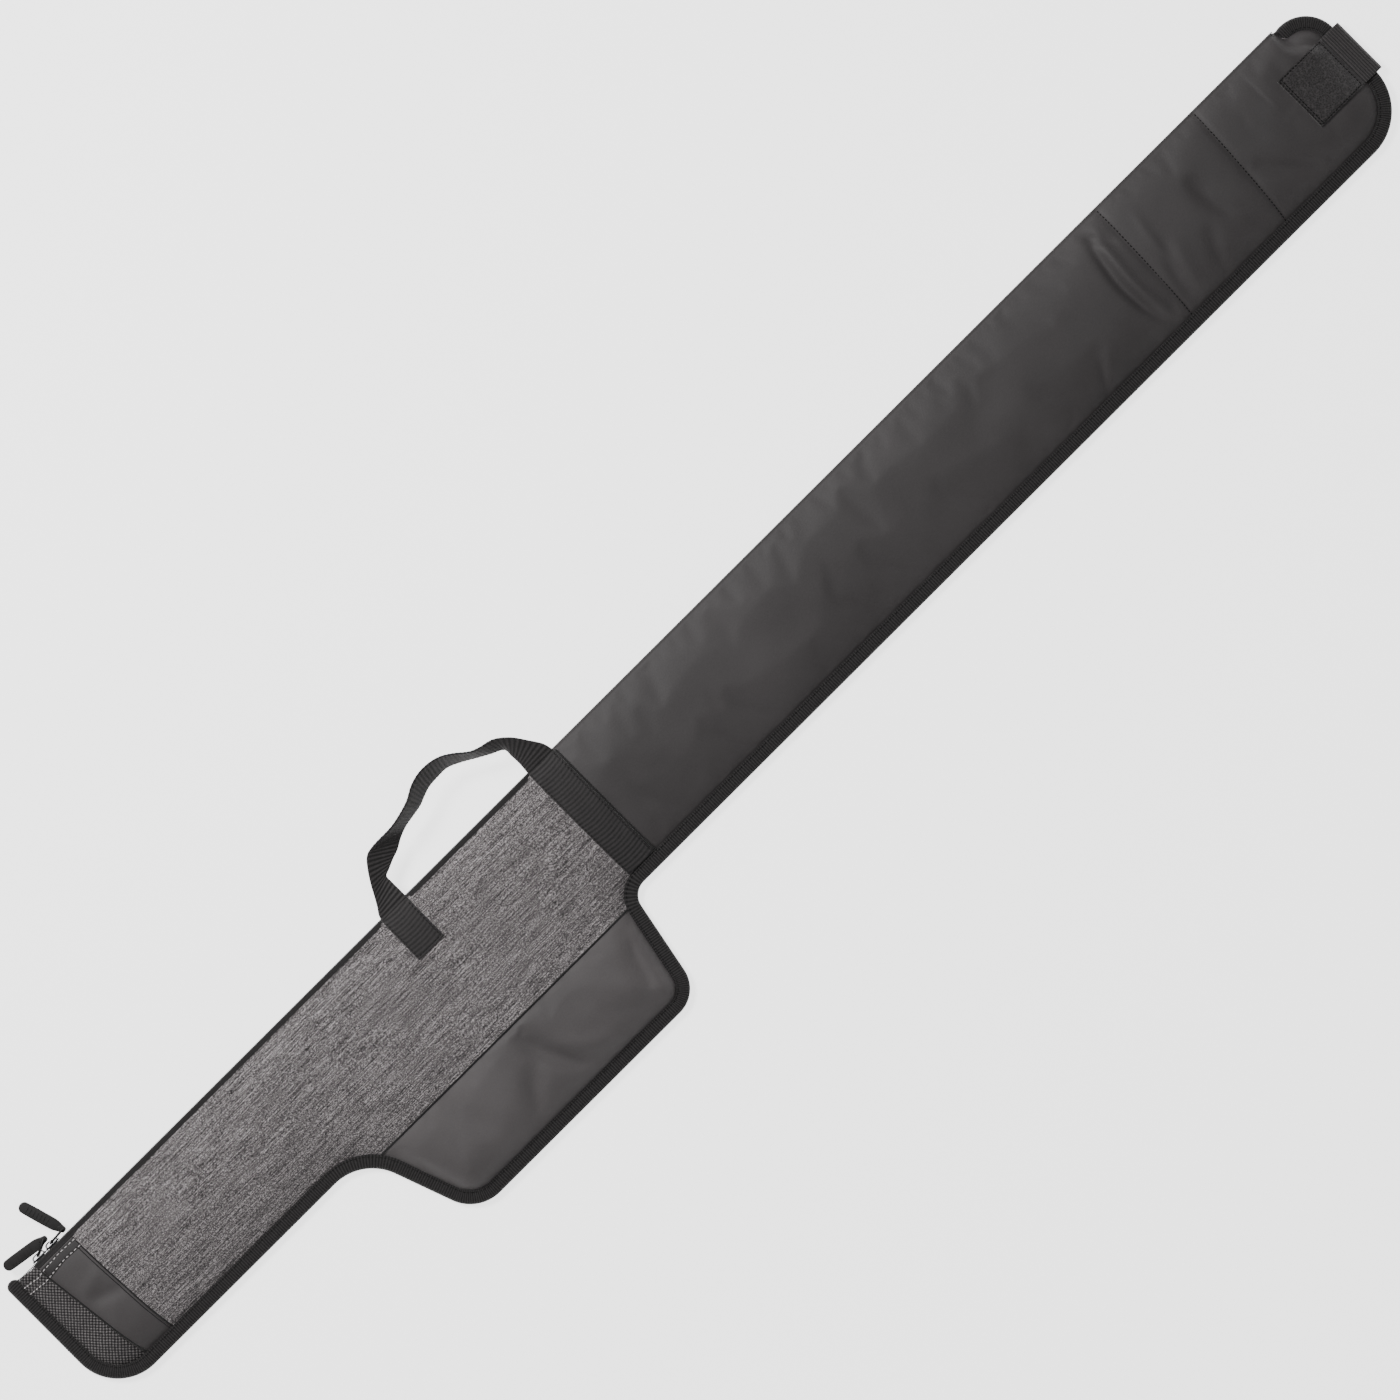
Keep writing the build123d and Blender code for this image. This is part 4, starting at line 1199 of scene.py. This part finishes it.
def pull(prefix, bodies, pivot, link_angle, tab_angle):
    """A wire loop and a moulded rubber pull, in plan angles from the direction of the tip."""
    pivot = Vector(pivot)
    along = plan_direction(link_angle)
    up = Vector((0, 0, 1))
    length, half_width, corner = 14 * MM, 3.8 * MM, 1.6 * MM
    path = []
    for cx, cz, start in ((length - corner, half_width - corner, 0), (0, half_width - corner, 90),
                          (0, corner - half_width, 180), (length - corner, corner - half_width, 270)):
        for k in range(7):
            t = math.radians(start + 15 * k)
            x, z = max(0.0, cx + corner * math.cos(t)), cz + corner * math.sin(t)
            path.append(pivot + along * x + up * z)
    link = closed_tube(prefix + "_link", np.array(path), 0.85 * MM, np.array(up.cross(along)), WIRE)
    dress(link, [prefix + "_link"], "pull_wire", bodies[0])
    end = pivot + along * length
    ahead = plan_direction(tab_angle)
    across = up.cross(ahead)

    def to_frame(rows):
        return np.array([end + (ahead * x + across * y + up * z) * MM for x, y, z in rows])

    half_outline = [
        (-2.3, 1.2), (-1.3, 2.3), (1.5, 3.0), (4, 3.8), (7, 4.5), (12, 4.75), (33, 4.7), (37.2, 3.8),
        (38.9, 1.4),
    ]
    outline = curve([(x, -y) for x, y in half_outline] + half_outline[::-1], 4, closed=True)
    tab = rounded_prism(prefix + "_tab", outline, -1.35, 1.35, 0.7, RUBBER, to_frame)
    dress(tab, [prefix + "_tab"], "rubber_pull", bodies[1])
    collar = slot_outline(7.2, 5.0) - (2.5, 0)
    knob = rounded_prism(prefix + "_tab_collar", collar, -1.9, 1.9, 0.9, RUBBER, to_frame)
    dress(knob, [], "rubber_pull", bodies[1])
    for k in range(7):
        rib = slot_outline(5.4, 1.0)[:, ::-1] * (-1, 1) + (13.5 + 3.1 * k, -2.7)
        for number, (low, high) in enumerate(((1.2, 1.65), (-1.65, -1.2))):
            name = f"{prefix}_grip_rib_{k + 1}_{number + 1}"
            dress(rounded_prism(name, rib, low, high, 0.2, RUBBER, to_frame), [], "rubber_pull", bodies[1])


def closed_tube(name, points, radius, side, material):
    """A round wire along a closed plane loop whose plane's normal is side, in the frame's metres."""
    sides = 8
    out = np.cross(directions(points, closed=True), side)
    verts = (points[:, None] + ring_around(out, side[None], sides) * radius).reshape(-1, 3)
    last = (len(points) - 1) * sides
    faces = list(grid_faces(len(points), sides, wrap=True))
    faces += [(last + c, last + (c + 1) % sides, (c + 1) % sides, c) for c in range(sides)]
    return new_mesh(name, verts, faces, material)


def pivot_of(name):
    return next(j for j in frame["joints"] if j["name"] == name)["pos_m"]


slider("butt_slider", BUTT_SLIDER)
slider("tip_slider", TIP_SLIDER)
pull("butt_slider", ("butt_link", "butt_tab"), pivot_of("butt_link_turn"), 25.0, 171.5)
pull("tip_slider", ("tip_link", "tip_tab"), pivot_of("tip_link_turn"), 5.0, 106.0)

for name, along in (("zip_stop_butt", BUTT_STOP), ("zip_stop_tip", ZIP_ENDS[1])):
    outline = [(0.2, -2.5), (2.3, -2.5), (2.5, 0), (2.3, 2.5), (0.2, 2.5), (0, 0)]
    piece = rounded_prism(name, curve(outline, 3, closed=True), 0.3, 1.7, 0.35, METAL, in_slider(along))
    dress(piece, [name], "slider_metal")

# ---------------------------------------------------------------- strap at the tip

a0, a1, d0, d1 = STRAP


def strap_sunk(along, depth):
    """How deep the stitching pulls the strap's square down."""
    near = min(along - a0, a1 - along, depth - d0, d1 - depth)
    return 0.5 * max(math.exp(-((near - 1.3) / 0.55) ** 2), math.exp(-((along - a0 - 3.3) / 0.55) ** 2))


square = laid_band("tip_strap_patch", (a0, a1, d0, d1), HOOK, thick=1.5, columns=90, rows=90, sunk=strap_sunk)
dress(square, ["tip_strap_patch"], "hook_loop")
near, far = (a0 + 1.2, a1 - 1.5), (d0 + 1.2, d0 + 1.6, d1 - 1.6, d1 - 1.2)
lines = [((near[0], far[0]), (near[0], far[3])), ((near[0], far[3]), (near[1], far[2])),
         ((near[1], far[2]), (near[1], far[1])), ((near[1], far[1]), (near[0], far[0])),
         ((a0 + 3.2, far[0]), (a0 + 3.2, far[3]))]
path = [p for start, end in lines for p in front_path(start, end, 1.25)]
dress(stitches("tip_strap_stitches", path, THREAD_DARK, pitch=3.0, radius=0.42), [], "hook_loop")


def strap_turn():
    """The strap beyond its sewn square: over the binding, round the tip edge and under it."""
    start = on_front(1433.4, 55)[2] + 0.9
    spine = curve([
        (1433.2, start + 0.4), (1436, start - 2.4), (1439.5, 10.0), (1443.5, 9.0), (1448.5, 8.9),
        (1452.2, 8.2), (1454.4, 6.2), (1454.6, 4.2), (1453.6, 2.3), (1452.6, 1.5),
    ], 4)
    ahead = directions(spine)
    out = np.column_stack([-ahead[:, 1], ahead[:, 0]])
    share = spread(18, 0.8)
    top = np.empty((len(spine), 18, 3))
    low = np.empty_like(top)
    for j, t in enumerate(share):
        depth = d0 + 0.2 + (d1 - d0 - 0.2) * t
        rim = 0.25 + 0.35 * (1 - math.exp(-min(t, 1 - t) * 50 / 0.35))
        for i in range(len(spine)):
            at, under = spine[i] + out[i] * rim, spine[i] - out[i] * rim
            top[i, j] = (at[0], depth, at[1])
            low[i, j] = (under[0], depth, under[1])
    dress(shell("tip_strap_turn", top, low, STRAP_WEAVE), ["tip_strap_turn"], "hook_loop")


strap_turn()


def flat_strip(name, along, low, high, material, body):
    """A flat strip of the strap's width with rounded edges, between two lengths and two heights."""
    corners = np.array([(along[0], d0), (along[1], d0), (along[1], d1), (along[0], d1)])
    points = np.vstack([np.linspace(corners[k], corners[(k + 1) % 4], 24, endpoint=False) for k in range(4)])
    dress(rounded_prism(name, points, low, high, 0.3, material, place_all), [name], "hook_loop", body)


flat_strip("tip_strap_flap", (1396, 1452), 0.02, 1.2, STRAP_WEAVE, "strap_flap")
flat_strip("tip_loop_patch", (1398, 1434), 1.4, 2.5, LOOP, "root")

# ---------------------------------------------------------------- floor, light and camera


FLOOR_GLOW = 2.2
FLOOR_SIZE, FLOOR_LEVEL = 12.0, -0.0004
WORLD_LIGHT = 0.2
# each light's name, its place from the view's middle, its size and its power
LIGHTS = [
    ("key", (-0.6, 1.8, 2.08), 0.9, 72),
    ("top", (0.6, 0.1, 2.7), 1.8, 10),
]
VIEW_MIDDLE = (718.7, 54.0)
VIEW_WIDTH, LENS, SENSOR = 1.106, 120.0, 36.0
VIEW_TURN = -44.9


def studio():
    """A plain pale floor, even light from all round and two soft lamps."""
    floor_mesh = bpy.data.meshes.new("floor")
    corners = [(x * FLOOR_SIZE, y * FLOOR_SIZE, FLOOR_LEVEL) for x, y in ((-1, -1), (1, -1), (1, 1), (-1, 1))]
    floor_mesh.from_pydata(corners, [], [(0, 1, 2, 3)])
    floor = bpy.data.objects.new("floor", floor_mesh)
    bpy.context.scene.collection.objects.link(floor)
    m = Nodes("floor", (0.92, 0.92, 0.92), 0.95, specular=0.1)
    m.shader.inputs["Emission Color"].default_value = (1, 1, 1, 1)
    m.shader.inputs["Emission Strength"].default_value = FLOOR_GLOW
    floor_mesh.materials.append(m.material)

    world = bpy.data.worlds.new("world")
    world.use_nodes = True
    background = world.node_tree.nodes["Background"]
    background.inputs["Color"].default_value = (1, 1, 1, 1)
    background.inputs["Strength"].default_value = WORLD_LIGHT
    bpy.context.scene.world = world

    middle = place(*VIEW_MIDDLE, 0)
    for name, offset, size, power in LIGHTS:
        data = bpy.data.lights.new(name, "AREA")
        data.shape = "DISK"
        data.size = size
        data.energy = power
        lamp = bpy.data.objects.new(name, data)
        lamp.location = middle + Vector(offset)
        lamp.rotation_euler = (middle - lamp.location).to_track_quat("-Z", "Y").to_euler()
        bpy.context.scene.collection.objects.link(lamp)


def camera():
    """Straight down from high up, turned so that the tip points to the upper right of the picture."""
    data = bpy.data.cameras.new("camera")
    data.lens, data.sensor_width = LENS, SENSOR
    data.clip_end = 100
    cam = bpy.data.objects.new("camera", data)
    cam.location = place(*VIEW_MIDDLE, 15.0) + Vector((0, 0, VIEW_WIDTH * LENS / SENSOR))
    cam.rotation_euler = (0, 0, math.radians(VIEW_TURN))
    bpy.context.scene.collection.objects.link(cam)
    bpy.context.scene.camera = cam


studio()
camera()
